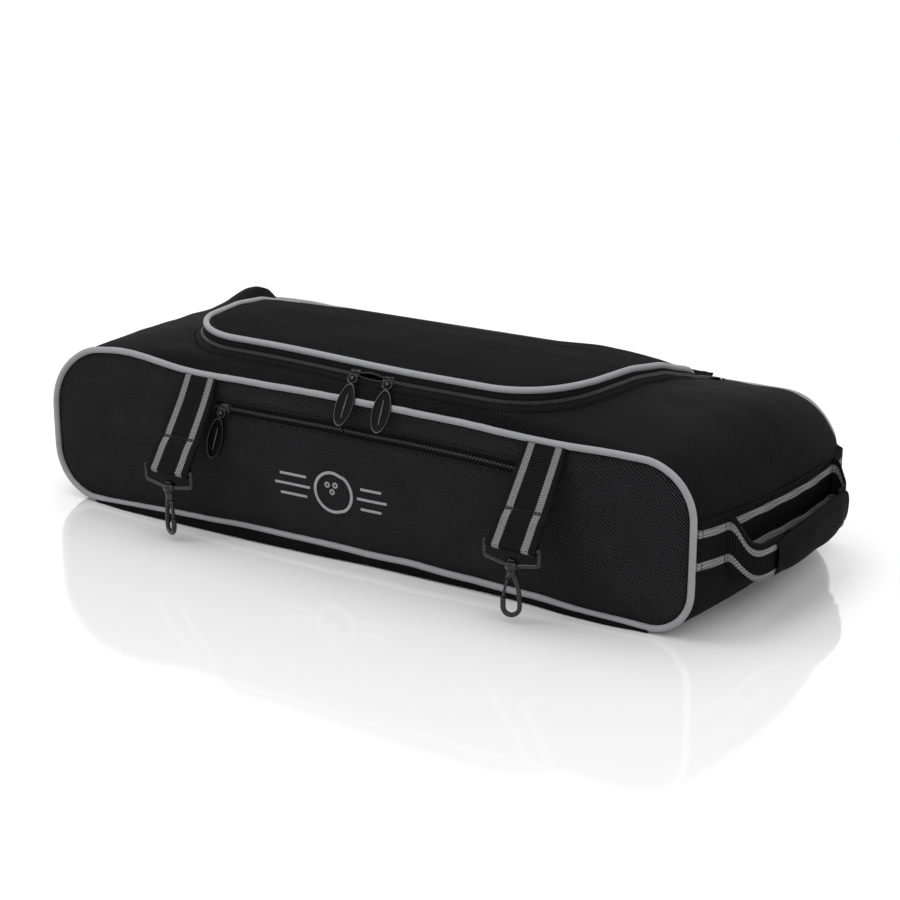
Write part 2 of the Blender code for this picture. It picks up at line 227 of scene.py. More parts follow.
def tube(name, points, radius, look, body, sides=12, up=UP, closed=False, flat=1.0):
    """A round or flattened rod. radius may be a function of the share of the length."""
    points = [Vector(p) for p in points]
    n = len(points)
    verts, faces, uvs, run = [], [], [], 0.0
    for i, (p, (t, side, high)) in enumerate(zip(points, frames_along(points, up, closed))):
        r = radius(i / max(1, n - 1)) if callable(radius) else radius
        run += (p - points[i - 1]).length if i else 0.0
        for k in range(sides):
            a = 2 * pi * k / sides
            verts.append(p + side * r * cos(a) + high * r * flat * sin(a))
            uvs.append((k / sides * 2 * pi * r, run))
    rows = n if closed else n - 1
    for i in range(rows):
        for k in range(sides):
            a, b = i * sides + k, i * sides + (k + 1) % sides
            c = ((i + 1) % n) * sides
            faces.append((a, c + k, c + (k + 1) % sides, b))
    if not closed:
        for i, flip in ((0, 1), (n - 1, 0)):
            t = frames_along(points, up)[i][0]
            r = radius(i / (n - 1)) if callable(radius) else radius
            verts.append(points[i] + t * r * 0.45 * (-1 if flip else 1))
            uvs.append((0.0, 0.0))
            for k in range(sides):
                a, b = i * sides + k, i * sides + (k + 1) % sides
                faces.append((b, a, len(verts) - 1)[:: -1 if flip else 1])
    return thing(name, verts, faces, look, body, uvs)


def ribbon(name, points, across, width, thick, look, body):
    """Webbing along points, with its weft standing out as ribs. across is the width's direction."""
    points = [Vector(p) for p in points]
    points = resample(points, max(len(points), int(length_of(points) / RIB * 4) + 1))
    run, half = 0.0, width / 2
    edge = thick * 0.5
    shape = [(-half, 0), (-half + edge * 0.6, -edge * 0.8)]
    shape += [(a, -edge) for a in spread(-half + edge * 1.6, half - edge * 1.6, 8)]
    shape += [(half - edge * 0.6, -edge * 0.8), (half, 0), (half - edge * 0.6, edge * 0.8)]
    shape += [(a, edge) for a in spread(half - edge * 1.6, -half + edge * 1.6, 8)]
    shape += [(-half + edge * 0.6, edge * 0.8)]
    verts, uvs = [], []
    for i, (p, t) in enumerate(zip(points, headings(points))):
        wide = (across - t * across.dot(t)).normalized()
        out = wide.cross(t)
        run += (p - points[i - 1]).length if i else 0.0
        rib = 1.0 + 0.3 * cos(2 * pi * run / RIB)
        for a, b in shape:
            verts.append(p + wide * a * (1 + 0.008 * (rib - 1)) + out * b * rib)
            uvs.append((a, run))
    return thing(name, verts, stacked(len(points), len(shape)), look, body, uvs)


def lathe(name, profile, look, body, where, sides=28):
    """A turned piece from (radius, height) pairs, placed by a matrix."""
    verts = []
    for r, z in profile:
        for k in range(sides):
            a = 2 * pi * k / sides
            verts.append(where @ vec(r * cos(a), r * sin(a), z))
    return thing(name, verts, stacked(len(profile), sides), look, body)


def beads(name, centres, size, look, body, axes):
    """Many small rounded blocks in one mesh, such as zipper teeth or stitches.
    axes gives the three directions at an index."""
    ring = ((-0.5, -0.35), (-0.3, -0.5), (0.3, -0.5), (0.5, -0.35),
            (0.5, 0.35), (0.3, 0.5), (-0.3, 0.5), (-0.5, 0.35))
    layers = ((-0.5, 0.72), (-0.36, 1.0), (0.36, 1.0), (0.5, 0.72))
    verts, faces = [], []
    for n, c in enumerate(centres):
        a, b, d = axes(n)
        faces += stacked(len(layers), len(ring), len(verts))
        for layer, grow in layers:
            for p, q in ring:
                across = a * p * size[0] * grow
                verts.append(Vector(c) + across + b * q * size[1] * grow + d * layer * size[2])
    return thing(name, verts, faces, look, body)


def stitches(name, points, body, normal, length=0.003, gap=0.0012, wide=0.0006):
    """A run of thread stitches along the points, lying on a surface with that normal."""
    count = max(2, int(length_of(points) / (length + gap)))
    path = resample(points, count * 2 + 1)
    centres = [path[2 * i + 1] for i in range(count)]
    runs = [(path[2 * i + 2] - path[2 * i]).normalized() for i in range(count)]

    def axes(n):
        up = Vector(normal(centres[n]) if callable(normal) else normal)
        side = runs[n].cross(up).normalized()
        return side, side.cross(runs[n]).normalized(), runs[n]

    return beads(name, centres, (wide, wide * 0.8, length), THREAD, body, axes)


# ---- materials


def fill(node, values):
    """Sets a shader node's inputs."""
    for key, value in values.items():
        node.inputs[key].default_value = value


class Look:
    """A Principled material built up node by node."""

    def __init__(self, name, colour, roughness, metallic=0.0, sheen=0.0, gloss=0.5):
        self.made = bpy.data.materials.new(name)
        self.made.use_nodes = True
        self.tree = self.made.node_tree
        self.shader = self.tree.nodes["Principled BSDF"]
        fill(self.shader, {"Base Color": (*colour, 1), "Roughness": roughness, "Metallic": metallic,
                           "Sheen Weight": sheen, "Sheen Roughness": 0.45, "Specular IOR Level": gloss})

    def node(self, kind, **settings):
        made = self.tree.nodes.new(kind)
        for key, value in settings.items():
            setattr(made, key, value)
        return made

    def feed(self, socket, value):
        if isinstance(value, (int, float)):
            socket.default_value = value
        else:
            self.tree.links.new(value, socket)

    def sum(self, operation, a, b=0.0, c=0.0):
        made = self.node("ShaderNodeMath", operation=operation)
        for socket, value in zip(made.inputs, (a, b, c)):
            self.feed(socket, value)
        return made.outputs[0]

    def mul(self, a, b):
        return self.sum("MULTIPLY", a, b)

    def add(self, a, b):
        return self.sum("ADD", a, b)

    def mad(self, a, b, c):
        """a times b, plus c."""
        return self.sum("MULTIPLY_ADD", a, b, c)

    def uv(self):
        split = self.node("ShaderNodeSeparateXYZ")
        self.tree.links.new(self.node("ShaderNodeTexCoord").outputs["UV"], split.inputs[0])
        return split.outputs[0], split.outputs[1]

    def wave(self, phase, pitch):
        """A smooth 0 to 1 wave of that pitch in metres."""
        return self.mad(self.sum("SINE", self.mul(phase, 2 * pi / pitch)), 0.5, 0.5)

    def blotches(self, scale, detail=3.0):
        made = self.node("ShaderNodeTexNoise")
        fill(made, {"Scale": scale, "Detail": detail})
        self.tree.links.new(self.node("ShaderNodeTexCoord").outputs["Object"], made.inputs["Vector"])
        return made.outputs[0]

    def paint(self, factor, dark, light):
        """Base colour between two colours by a factor."""
        mix = self.node("ShaderNodeMix", data_type="RGBA")
        self.feed(mix.inputs[0], factor)
        fill(mix, {6: (*dark, 1), 7: (*light, 1)})
        self.tree.links.new(mix.outputs[2], self.shader.inputs["Base Color"])

    def bump(self, height, distance, strength=1.0):
        made = self.node("ShaderNodeBump")
        fill(made, {"Strength": strength, "Distance": distance})
        self.tree.links.new(height, made.inputs["Height"])
        if self.shader.inputs["Normal"].is_linked:
            self.tree.links.new(self.shader.inputs["Normal"].links[0].from_socket, made.inputs["Normal"])
        self.tree.links.new(made.outputs[0], self.shader.inputs["Normal"])
        return self


def twill(name, dark, light, pitch=0.0023, slant=1.0, gloss=0.02, relief=0.5):
    """Coarse twill: slanting ribs broken into short floats, a little uneven from thread to thread."""
    look = Look(name, dark, 0.66, gloss=gloss)
    u, v = look.uv()
    wander = look.mul(look.blotches(220.0, 2.0), pitch * 1.1)
    across = look.add(look.mad(v, slant, u), wander)
    along = look.mad(v, -slant, u)
    rib = look.wave(across, pitch * 1.414)
    thread = look.wave(look.add(along, wander), pitch * 0.9)
    body = look.mul(rib, look.mad(thread, 0.6, 0.4))
    patchy = look.mad(look.blotches(30.0), 0.7, 0.62)
    speck = look.mad(look.blotches(1500.0, 1.0), 1.6, 0.2)
    crisp = look.sum("POWER", body, 1.7)
    look.paint(look.mul(look.mul(crisp, speck), patchy), dark, light)
    return look.bump(body, 0.00045, relief).made


def knit(name, dark, light, pitch, sheen=0.05, gloss=0.25):
    """Fine ribs along the piece, crossed by finer threads."""
    look = Look(name, dark, 0.7, sheen=sheen, gloss=gloss)
    u, v = look.uv()
    body = look.mul(look.wave(v, pitch), look.mad(look.wave(u, pitch * 0.7), 0.4, 0.6))
    look.paint(look.mul(body, look.mad(look.blotches(90.0), 0.5, 0.7)), dark, light)
    return look.bump(body, 0.00016, 0.5).made


def webbing(name, stripe_at=0.0142):
    """Black ribbed webbing with two light herringbone stripes along it, each of four columns."""
    look = Look(name, (0.02, 0.02, 0.02), 0.6, gloss=0.04)
    u, v = look.uv()
    off = look.sum("SUBTRACT", look.sum("ABSOLUTE", u), stripe_at)
    ragged = look.mad(look.wave(v, 0.0021), 0.0007, 0.0031)
    stripe = look.sum("LESS_THAN", look.sum("ABSOLUTE", off), ragged)
    zigzag = look.sum("PINGPONG", look.add(off, 0.01), 0.00175)
    dash = look.wave(look.mad(zigzag, 1.1, v), 0.0021)
    column = look.wave(look.add(off, 0.000875), 0.00175)
    cell = look.mul(look.sum("POWER", dash, 0.7), look.mad(column, 0.55, 0.45))
    ribs = look.wave(v, RIB)
    warp = look.wave(u, 0.0012)
    black = look.mad(look.mul(ribs, look.mad(warp, 0.7, 0.3)), 0.012, 0.001)
    light = look.mad(look.sum("SMOOTH_MIN", look.mul(cell, 1.3), 1.0, 0.3), 0.27, 0.006)
    value = look.add(look.mul(light, stripe), look.mul(black, look.sum("SUBTRACT", 1.0, stripe)))
    look.paint(value, (0.0, 0.0, 0.0), (1.0, 1.0, 1.0))
    height = look.add(look.mul(ribs, warp), look.mul(cell, stripe))
    return look.bump(height, 0.0003, 0.8).made


CLOTH = twill("front_twill", (0.0022, 0.0022, 0.0023), (0.05, 0.05, 0.053))
# The top's twill is the front's cloth painted darker: painted shade that offsets the stronger light falling
# on the top from above.
TOP = twill("top_twill", (0.0024, 0.0024, 0.0025), (0.018, 0.018, 0.0192), pitch=0.0021, slant=-1.0,
            relief=0.3)
LID_TOP = twill("lid_twill", (0.001, 0.001, 0.0011), (0.026, 0.026, 0.028), slant=-1.0, gloss=0.006)
GUSSET = twill("base_twill", (0.0012, 0.0012, 0.0013), (0.012, 0.012, 0.013), pitch=0.0014)
LINING = twill("lining_cloth", (0.012, 0.012, 0.013), (0.05, 0.05, 0.055), pitch=0.001)
PIPING = knit("piping_cloth", (0.15, 0.15, 0.154), (0.31, 0.31, 0.318), 0.0011)
TAPE = knit("zipper_tape", (0.001, 0.001, 0.0012), (0.012, 0.012, 0.013), 0.0016, sheen=0.0, gloss=0.03)
WEBBING = webbing("striped_webbing")
EDGE_WEBBING = webbing("edge_striped_webbing", 0.0205)
COIL = Look("coil", (0.022, 0.022, 0.023), 0.3, gloss=0.35).made
THREAD = Look("black_thread", (0.004, 0.004, 0.0045), 0.5, gloss=0.12).made
EMBROIDERY = knit("embroidery_thread", (0.19, 0.19, 0.195), (0.4, 0.4, 0.41), 0.0009, sheen=0.1)
METAL = Look("black_zinc", (0.01, 0.01, 0.011), 0.26, metallic=0.25, gloss=0.35)
METAL = METAL.bump(METAL.blotches(420.0), 0.0001, 0.25).made
HOOK = Look("satin_black_steel", (0.01, 0.01, 0.011), 0.24, metallic=0.25, gloss=0.4)
HOOK = HOOK.bump(HOOK.blotches(240.0), 0.00012, 0.3).made
PULL = Look("pull_rubber", (0.003, 0.003, 0.0033), 0.42, gloss=0.05).made
# The pulls' rim and rib: painted lighter than the pull, as a painted highlight.
RIM_HIGHLIGHT = Look("pull_rim", (0.06, 0.06, 0.064), 0.25, gloss=0.3).made
SHINE = Look("polished_ball", (0.04, 0.04, 0.045), 0.12, metallic=0.9).made

# ---- the bag's outline

front_low, front_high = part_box("front_piping")
cord_radius = 0.0035  # radius of the CAD's piping
CORD = 0.0031  # radius of the piping as it shows
HALF = (front_high[0] - front_low[0]) / 2 - cord_radius
FRONT, BACK = centre("front_piping")[1], centre("back_piping")[1]
BASE, TOPZ = front_low[2] + cord_radius, front_high[2] - cord_radius
DEPTH = BACK - FRONT
RADII = {"bl": 0.048, "br": 0.038, "tr": 0.048, "tl": 0.06}  # corners: bottom or top, left or right
SEAM_IN = 0.0022  # the ends' and the top's cloth starts this far inside the two pipings
FLOOR_GAP = 0.0004  # least height of the cloth above the floor

# How far the front's lower edge bows up above the base, and how far the base's cloth bulges out below it
BOW = ((-0.3, 0.0), (-0.26, 0.001), (-0.2, 0.0038), (-0.115, 0.007), (-0.04, 0.0074), (0.03, 0.0074),
       (0.08, 0.0078), (0.13, 0.0062), (0.2, 0.0045), (0.24, 0.0014), (0.28, 0.0))
BULGE = ((-0.3, -0.0036), (-0.2, -0.0052), (-0.11, -0.0056), (-0.04, -0.0036), (0.03, 0.001),
         (0.1, 0.0015), (0.15, 0.003), (0.195, 0.001), (0.24, -0.003), (0.32, -0.004))


def share_deep(y):
    return min(1.0, max(0.0, (y - FRONT) / DEPTH))


def settle(x, y, z):
    """How the stuffed bag departs from its pattern: humps on top and a base that bows up at the front."""
    t = min(1.0, max(0.0, (z - BASE) / (TOPZ - BASE)))
    near = 1.0 - ease(share_deep(y) / 0.42)
    back = ease((y - 0.01) / 0.13)
    top = 0.003 * bell(x, 0, 0.17) + 0.0085 * bell(x, -0.262, 0.055)
    top -= 0.0018 * bell(x, 0.21, 0.05)
    top += 0.0008 * rough((x, 0, 1.0), 0.05, 3.0)
    base = curve_at(BOW, x) * near
    base += 0.0006 * rough((x, 0, 0.0), 0.04, 7.0) * near
    far = lerp(1.0, 0.35, share_deep(y))
    slump = lerp(0.0062, 0.0135, ease((x - 0.1) / 0.16)) * back * ease((z - 0.05) / 0.09)
    out = 0.00125 * sin(pi * t) * (1 if x > 0 else -1)
    out -= 0.003 * ease((x - 0.26) / 0.08) * back * ease((t - 0.55) / 0.4)
    return vec(x + out, y, z + top * t * far + base * (1 - t) - slump)


def outline(steps=14, straight=60):
    """The pattern's outline as (x, z, normal x, normal z), anticlockwise from the bottom left."""
    out = []
    spans = (("bl", 180, -1, 0), ("br", 270, 1, 0), ("tr", 0, 1, 1), ("tl", 90, -1, 1))
    for k, (key, angle, side, high) in enumerate(spans):
        r = RADII[key]
        cx, cz = side * (HALF - r), (TOPZ - r if high else BASE + r)
        for i in range(steps + 1):
            a = radians(angle + 90 * i / steps)
            out.append((cx + r * cos(a), cz + r * sin(a), cos(a), sin(a)))
        following = spans[(k + 1) % 4]
        r2 = RADII[following[0]]
        nx = following[2] * (HALF - r2)
        nz = TOPZ - r2 if following[3] else BASE + r2
        a2 = radians(following[1])
        end = (nx + r2 * cos(a2), nz + r2 * sin(a2))
        count = straight if k in (0, 2) else 10
        x0, z0 = out[-1][:2]
        for i in range(1, count):
            s = i / count
            out.append((lerp(x0, end[0], s), lerp(z0, end[1], s), out[-1][2], out[-1][3]))
    return out


OUT = outline()


def side_x(z, side):
    """How far the outline reaches at this height, on one side."""
    top, bottom = (RADII["tr"], RADII["br"]) if side > 0 else (RADII["tl"], RADII["bl"])
    if z > TOPZ - top:
        r, d = top, min(top, z - (TOPZ - top))
    elif z < BASE + bottom:
        r, d = bottom, min(bottom, BASE + bottom - z)
    else:
        return side * HALF
    return side * (HALF - r + sqrt(max(0.0, r * r - d * d)))


def panel_point(x, z, y, out):
    """A point of the front or back panel, from its place in the flat pattern."""
    p = settle(x, y, z)
    d = max(0.0, min(x - side_x(z, -1), side_x(z, 1) - x, z - BASE, TOPZ - z))
    edge = ease(d / 0.02)
    middle = sin(pi * (z - BASE) / (TOPZ - BASE)) * cos(pi * 0.5 * x / HALF) ** 0.4
    pucker = 0.0005 * sin(x * 480 + 3 * sin(x * 90) + z * 150) * (1 - edge) * ease(d / 0.004)
    ripple = 0.0012 * rough(p, 0.09, 1.7) + 0.0005 * rough(p, 0.03, 5.0)
    p.y += out * (-0.0014 + 0.0032 * edge + 0.0028 * middle + pucker + ripple * edge)
    return p


def heights(parts):
    """Levels through several spans, as (start, end, count, packing) with no level repeated."""
    out = []
    for a, b, n, pack in parts:
        for i in range(n + 1):
            t = i / n
            t = t**2 if pack < 0 else 1 - (1 - t) ** 2 if pack > 0 else t
            if not out or abs(out[-1] - lerp(a, b, t)) > 1e-7:
                out.append(lerp(a, b, t))
    return out


# ---- front and back panels

slot_low, slot_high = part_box("pocket_zip_tape_lower")[0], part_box("pocket_zip_tape_upper")[1]
SLOT_X = (slot_low[0] - 0.0003, slot_high[0] + 0.0003)
SLOT_Z = (slot_low[2] - 0.0003, slot_high[2] + 0.0003)


LEFT_COLS, SLOT_COLS, RIGHT_COLS = 34, 60, 30  # columns left of, along and right of the pocket's slot


def panel(name, y, out, slot, look):
    """The front or back panel. A panel with a slot has a hole for the pocket's zipper."""
    levels = heights([(BASE, BASE + 0.048, 14, -1), (BASE + 0.048, SLOT_Z[0], 14, 0),
                      (SLOT_Z[0], SLOT_Z[1], 3, 0), (SLOT_Z[1], TOPZ, 9, 1)])
    columns = [("l", 0.0)]
    for key, steps in (("l", LEFT_COLS), ("m", SLOT_COLS), ("r", RIGHT_COLS)):
        columns += [(key, i / steps) for i in range(1, steps + 1)]
    grid, n = Grid(), len(columns)
    for z in levels:
        x0, x1 = side_x(z, -1), side_x(z, 1)
        spans = {"l": (x0, SLOT_X[0]), "m": SLOT_X, "r": (SLOT_X[1], x1)}
        for key, t in columns:
            x = lerp(*spans[key], t)
            grid.verts.append(panel_point(x, z, y, out))
            grid.uvs.append((x, z))
    for j in range(len(levels) - 1):
        for i in range(n - 1):
            between = SLOT_Z[0] - 1e-6 < levels[j] and levels[j + 1] < SLOT_Z[1] + 1e-6
            if not (slot and LEFT_COLS <= i < LEFT_COLS + SLOT_COLS and between):
                a = j * n + i
                quad = (a, a + 1, a + n + 1, a + n)
                grid.faces.append(quad if out < 0 else quad[::-1])
    return grid.make(name, look, "bag", thick=0.0022)


front_cloth = panel("front_cloth", FRONT, -1, True, CLOTH)
back_cloth = panel("back_cloth", BACK, 1, False, CLOTH)
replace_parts(front_cloth, "front_panel")
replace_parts(back_cloth, "back_panel")


def on_front(x, z, out=0.0):
    p = panel_point(x, z, FRONT, -1)
    p.y -= out
    return p


def piping(name, y):
    path = resample([settle(x, y, z) for x, z, _, _ in OUT], 420, closed=True)
    made = tube(name, path, CORD, PIPING, "bag", sides=14, up=TO_BACK, closed=True)
    for vert in made.data.vertices:
        vert.co += UP * 0.00025 * rough(vert.co, 0.012, 2.0)
    return made


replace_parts(piping("front_cord", FRONT), "front_piping")
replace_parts(piping("back_cord", BACK), "back_piping")
SEAM_INSET = 0.0052  # of the stitches beside the piping
for name, y, out in (("front_seam", FRONT, -1), ("back_seam", BACK, 1)):
    ring = [(x - nx * SEAM_INSET, z - nz * SEAM_INSET) for x, z, nx, nz in OUT]
    ring = [panel_point(x, z, y, out) + vec(0, out * 0.0002, 0) for x, z in ring]
    stitches(name, ring + ring[:1], "bag", vec(0, out, 0), length=0.0032, gap=0.0014)

# ---- gusset, deck and lid

lid_low, lid_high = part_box("lid_piping")
LID_FRONT = lid_low[1] + cord_radius
LID_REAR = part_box("lid_panel")[1][1]
LID_SIDES = ((-0.212, lid_low[0] + cord_radius), (0.207, lid_high[0] - cord_radius))
LID_R = (0.062, 0.066)
# Height of the lid's edge, by its place from front to back
HEIGHT = ((-0.1165, 0.185), (-0.0665, 0.1862), (-0.0065, 0.184), (0.0435, 0.1775), (0.0835, 0.169),
          (0.1135, 0.1605), (0.1335, 0.1545), (0.1425, 0.151))


def skew(x, y):
    """The lid's front edge runs a little forward towards the right."""
    return lerp(0.002, -0.01, ease((x + 0.12) / 0.2)) * (1 - ease((y - LID_FRONT) / 0.12))


def lid_height(y):
    return curve_at(HEIGHT, y)


def back_run(y):
    """Share of the way from the lid's front edge to its back edge, and over 1 behind it."""
    return max(0.0, (y - LID_FRONT) / (LID_REAR - LID_FRONT))


def back_share(y):
    return min(1.0, back_run(y))


def zip_height(x, y, half):
    """Height of the coil. half is -1 for the deck's half and 1 for the lid's."""
    z = lid_height(y) - lerp(0.0098, 0.0045, back_share(y)) + 0.0007 * half
    a, b = SLIDERS
    if y < LID_FRONT + 0.01 and a < x < b:
        gape = sin(pi * (x - a) / (b - a))
        z += 0.0034 * gape if half > 0 else -0.0014 * gape
    return z


def seam_height(y):
    return lid_height(y) - lerp(0.0158, 0.008, back_share(y))


def lid_line(offset, steps=30):
    """The lid's piping line from its left rear corner round the front to the right, moved outwards."""
    y0 = LID_FRONT - offset
    (x0, x0_back), (x1, x1_back) = LID_SIDES
    left, right = LID_R[0] + offset, LID_R[1] + offset
    a, b = x0 - offset, x1 + offset
    path = [(a, lerp(LID_REAR, y0 + left, i / 20)) for i in range(20)]
    path += [(a + left - left * cos(t), y0 + left - left * sin(t))
             for t in (pi / 2 * i / steps for i in range(steps + 1))]
    path += [(lerp(a + left, b - right, i / 40), y0) for i in range(1, 40)]
    path += [(b - right + right * sin(t), y0 + right - right * cos(t))
             for t in (pi / 2 * i / steps for i in range(steps + 1))]
    path += [(b, lerp(y0 + right, LID_REAR, i / 20)) for i in range(1, 21)]
    out = []
    for x, y in path:
        out.append((x + (x0_back - x0 if x < 0 else x1_back - x1) * back_run(y), y + skew(x, y)))
    return out


SLIDERS = tuple(centre("main_slider_" + side)[0] for side in ("left", "right"))


def hump(x, y):
    """The soft rise of the cloth behind the lid's left corner."""
    return 0.01 * exp(-(((x + 0.308) / 0.031) ** 2) - ((y - 0.112) / 0.028) ** 2)


def gusset_point(k, v):
    """A point of the gusset: k indexes the outline, v runs from the front piping to the back."""
    x, z, nx, nz = OUT[k % len(OUT)]
    y = lerp(FRONT + SEAM_IN, BACK - SEAM_IN, v)
    d = min(v, 1 - v) * DEPTH
    wide = 1 - (2 * v - 1) ** 2
    reach = nx * nx * (0.0015 * ease(d / 0.02) + 0.0135 * wide)
    if x > 0:
        reach += nx * nx * 0.0066 * ease((v - 0.25) / 0.65) * ease(d / 0.009) * ease((z - 0.02) / 0.05)
    if x < 0:
        reach += 0.0042 * ease(d / 0.006) * (nx * nx if nz > 0 else 1.0)
        reach -= wide * (0.009 * nx * nx + (0.028 * nx * nx * nz * nz if nz > 0 else 0.0))
    if nz > 0:
        crown = 0.0125 * (1 - abs(2 * v - 1) ** (4 if v < 0.5 else 8))
        reach += nz * nz * crown * (1 - 0.55 * ease((-x - 0.24) / 0.06) * (1 - ease((y - 0.02) / 0.08)))
    p = settle(x, y, z)
    if nz < 0:
        drop = 1 - exp(-d / 0.0045)
        p.z = z - nz * nz * (BASE - 0.0002) * drop
    edge = ease(d / 0.025)
    q = vec(x, y, z)
    uneven = 0.0016 * rough(q, 0.075, 9.0) + 0.0007 * rough(q, 0.028, 4.0)
    reach += uneven * edge * (1 if nz > -0.4 else 0.0)
    reach += 0.0006 * sin((x + z) * 420) * (1 - edge) * ease(d / 0.004) * (1 if nz > -0.4 else 0.2)
    p += vec(nx * reach, 0, nz * reach)
    p.z = max(FLOOR_GAP, p.z + hump(p.x, p.y) * max(0.0, nz) * ease(d / 0.02))
    return p


# Steps of the outline in a corner, along the top or the base, and up a side
ARC, LONG, SHORT = 14, 60, 10
starts = {"bl": 0, "bottom": ARC, "br": ARC + LONG, "right": 2 * ARC + LONG, "tr": 2 * ARC + LONG + SHORT,
          "top": 3 * ARC + LONG + SHORT, "tl": 3 * ARC + 2 * LONG + SHORT, "left": 4 * ARC + 2 * LONG + SHORT}
TOTAL = 4 * ARC + 2 * LONG + 2 * SHORT
lengths = [0.0]
for k in range(1, TOTAL + 1):
    a, b = OUT[k - 1], OUT[k % len(OUT)]
    lengths.append(lengths[-1] + hypot(a[0] - b[0], a[1] - b[1]))
ROWS = 44  # of the gusset, from front to back


def gusset_patch(grid, k0, k1):
    def f(u, v):
        k = round(lerp(k0, k1, u))
        return gusset_point(k, v), (lerp(0, DEPTH, v), lengths[k % TOTAL] if k else 0.0)
    return grid.patch(f, k1 - k0, ROWS, flip=True)


shell = Grid()
gusset_patch(shell, starts["br"], starts["top"])
gusset_patch(shell, starts["tl"], TOTAL)
gusset_patch(shell, 0, ARC)

SEAM_OUT = 0.0116  # how far the deck's seam lies outside the lid's piping line
seam = lid_line(SEAM_OUT)
seam = [(seam[0][0], BACK - SEAM_IN)] + seam + [(seam[-1][0], BACK - SEAM_IN)]
left_mid = 21 + 15  # the middle of the seam's front left corner, past the points along its side
right_mid = len(seam) - 1 - left_mid
inner = resample([(x, y, 0) for x, y in seam[: left_mid + 1]], ROWS + 1)
inner += resample([(x, y, 0) for x, y in seam[left_mid: right_mid + 1]], LONG + 1)[1:]
inner += resample([(x, y, 0) for x, y in seam[right_mid:]], ROWS + 1)[1:]
outer = [gusset_point(starts["tl"], 1 - j / ROWS) for j in range(ROWS + 1)]
outer += [gusset_point(starts["tl"] - j, 0) for j in range(1, LONG + 1)]
outer += [gusset_point(starts["top"], j / ROWS) for j in range(1, ROWS + 1)]


def deck_point(i, t):
    a, b = outer[i], inner[i]
    rise = 1 - (1 - t) ** 1.7
    x, y = lerp(a.x, b.x, t), lerp(a.y, b.y, t)
    z = lerp(a.z, seam_height(b.y), rise)
    free = sin(pi * t) ** 0.7
    q = vec(x, y, 0.16)
    corner = exp(-(((x + 0.262) / 0.035) ** 2 + ((y + 0.085) / 0.05) ** 2))
    crease = sin((x * 0.8 + y) * 210 + 2.2 * rough(q, 0.05, 8.0)) * corner
    z += free * (0.0016 * rough(q, 0.06, 3.0) + 0.0007 * rough(q, 0.024, 6.0) + 0.0012 * crease)
    return vec(x, y, z)


COUNT = len(outer) - 1


def deck_at(u, v):
    p = deck_point(round(u * COUNT), v)
    return p, (p.y - FRONT, p.x)


shell.patch(deck_at, COUNT, 12)
deck = shell.make("deck_and_ends", TOP, "bag", weld=2e-5, thick=0.0016)
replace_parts(deck, "top_deck", "left_end_panel", "right_end_panel", "hinge_strip")

# The base comes out from under the front piping, drops to the floor and runs back to the rear piping.
# Each row is (place behind the piping, share of the height, share of the bulge).
LIP = ((0.0022, 1.0, 0.0), (-0.0008, 0.8, 0.3), (-0.0022, 0.58, 0.8), (-0.0024, 0.36, 1.0),
       (-0.0018, 0.14, 1.0), (0.0006, 0.02, 1.0), (0.006, 0.0, 0.6), (0.016, 0.0, 0.1))
BASE_ROWS = 20


def base_point(u, v):
    """A point of the base cloth: u runs along the bag, and v counts the rows from the front."""
    x = lerp(-HALF + RADII["bl"], HALF - RADII["br"], u)
    row = round(v * BASE_ROWS)
    if row < len(LIP):
        dy, share, swell = LIP[row]
        swell *= ease(min(u, 1 - u) / 0.07)
        y, lift = FRONT + dy + curve_at(BULGE, x) * swell, settle(x, FRONT, BASE).z * share
    else:
        back_off = max(0.0, BASE_ROWS - row) / (BASE_ROWS - len(LIP))
        y = lerp(BACK - SEAM_IN, FRONT + LIP[-1][0], back_off)
        lift = BASE * (1 if row == BASE_ROWS else 0)
    return vec(x, y, max(FLOOR_GAP, lift)), (y, x)


base = Grid().patch(base_point, 120, BASE_ROWS).make("base_cloth", GUSSET, "bag", thick=0.0008)
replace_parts(base, "bottom_panel")
hem = [deck_point(i, 1.0) + vec(0, 0, 0.0003) for i in range(COUNT + 1)]
tube("deck_hem", hem, 0.0011, TOP, "bag", sides=8)
run = []
for i in range(2, COUNT - 1):
    across = dist(outer[i][:2], inner[i][:2])
    run.append(deck_point(i, max(0.3, 1 - 0.0034 / across)) + vec(0, 0, 0.0004))
stitches("deck_stitching", run, "bag", UP, length=0.003, gap=0.0013, wide=0.0006)


def sink(obj):
    """Lets the lid's rear corners, and what is sewn beside them, lie lower than its middle."""
    for vert in obj.data.vertices:
        x, y = vert.co.x, vert.co.y
        far = ease((y - 0.03) / 0.08) * (1 - ease((y - 0.14) / 0.006))
        by = 0.0045 * bell(x, 0.135, 0.045)
        by -= 0.0048 * ease((x - 0.17) / 0.05) * (1 - ease((x - 0.228) / 0.03))
        by -= 0.003 * (1 - ease((x + 0.27) / 0.13)) * ease((x + 0.3) / 0.03)
        vert.co.z += by * far
    return obj


# The lid's cloth folds along the back: it bends between the bag and the lid there
for sewn in ("deck_and_ends", "deck_hem", "deck_stitching"):
    sink(bpy.data.objects[sewn])


def lid_bends(obj):
    sink(obj)
    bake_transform(obj)
    return obj


def lid_edge(y, side):
    (x0, x0_back), (x1, x1_back) = LID_SIDES
    r = LID_R[side > 0]
    d = max(0.0, LID_FRONT + r - y)
    cut_in = r - sqrt(max(0.0, r * r - d * d))
    if side < 0:
        return x0 + cut_in + (x0_back - x0) * back_run(y)
    return x1 - cut_in + (x1_back - x1) * back_run(y)


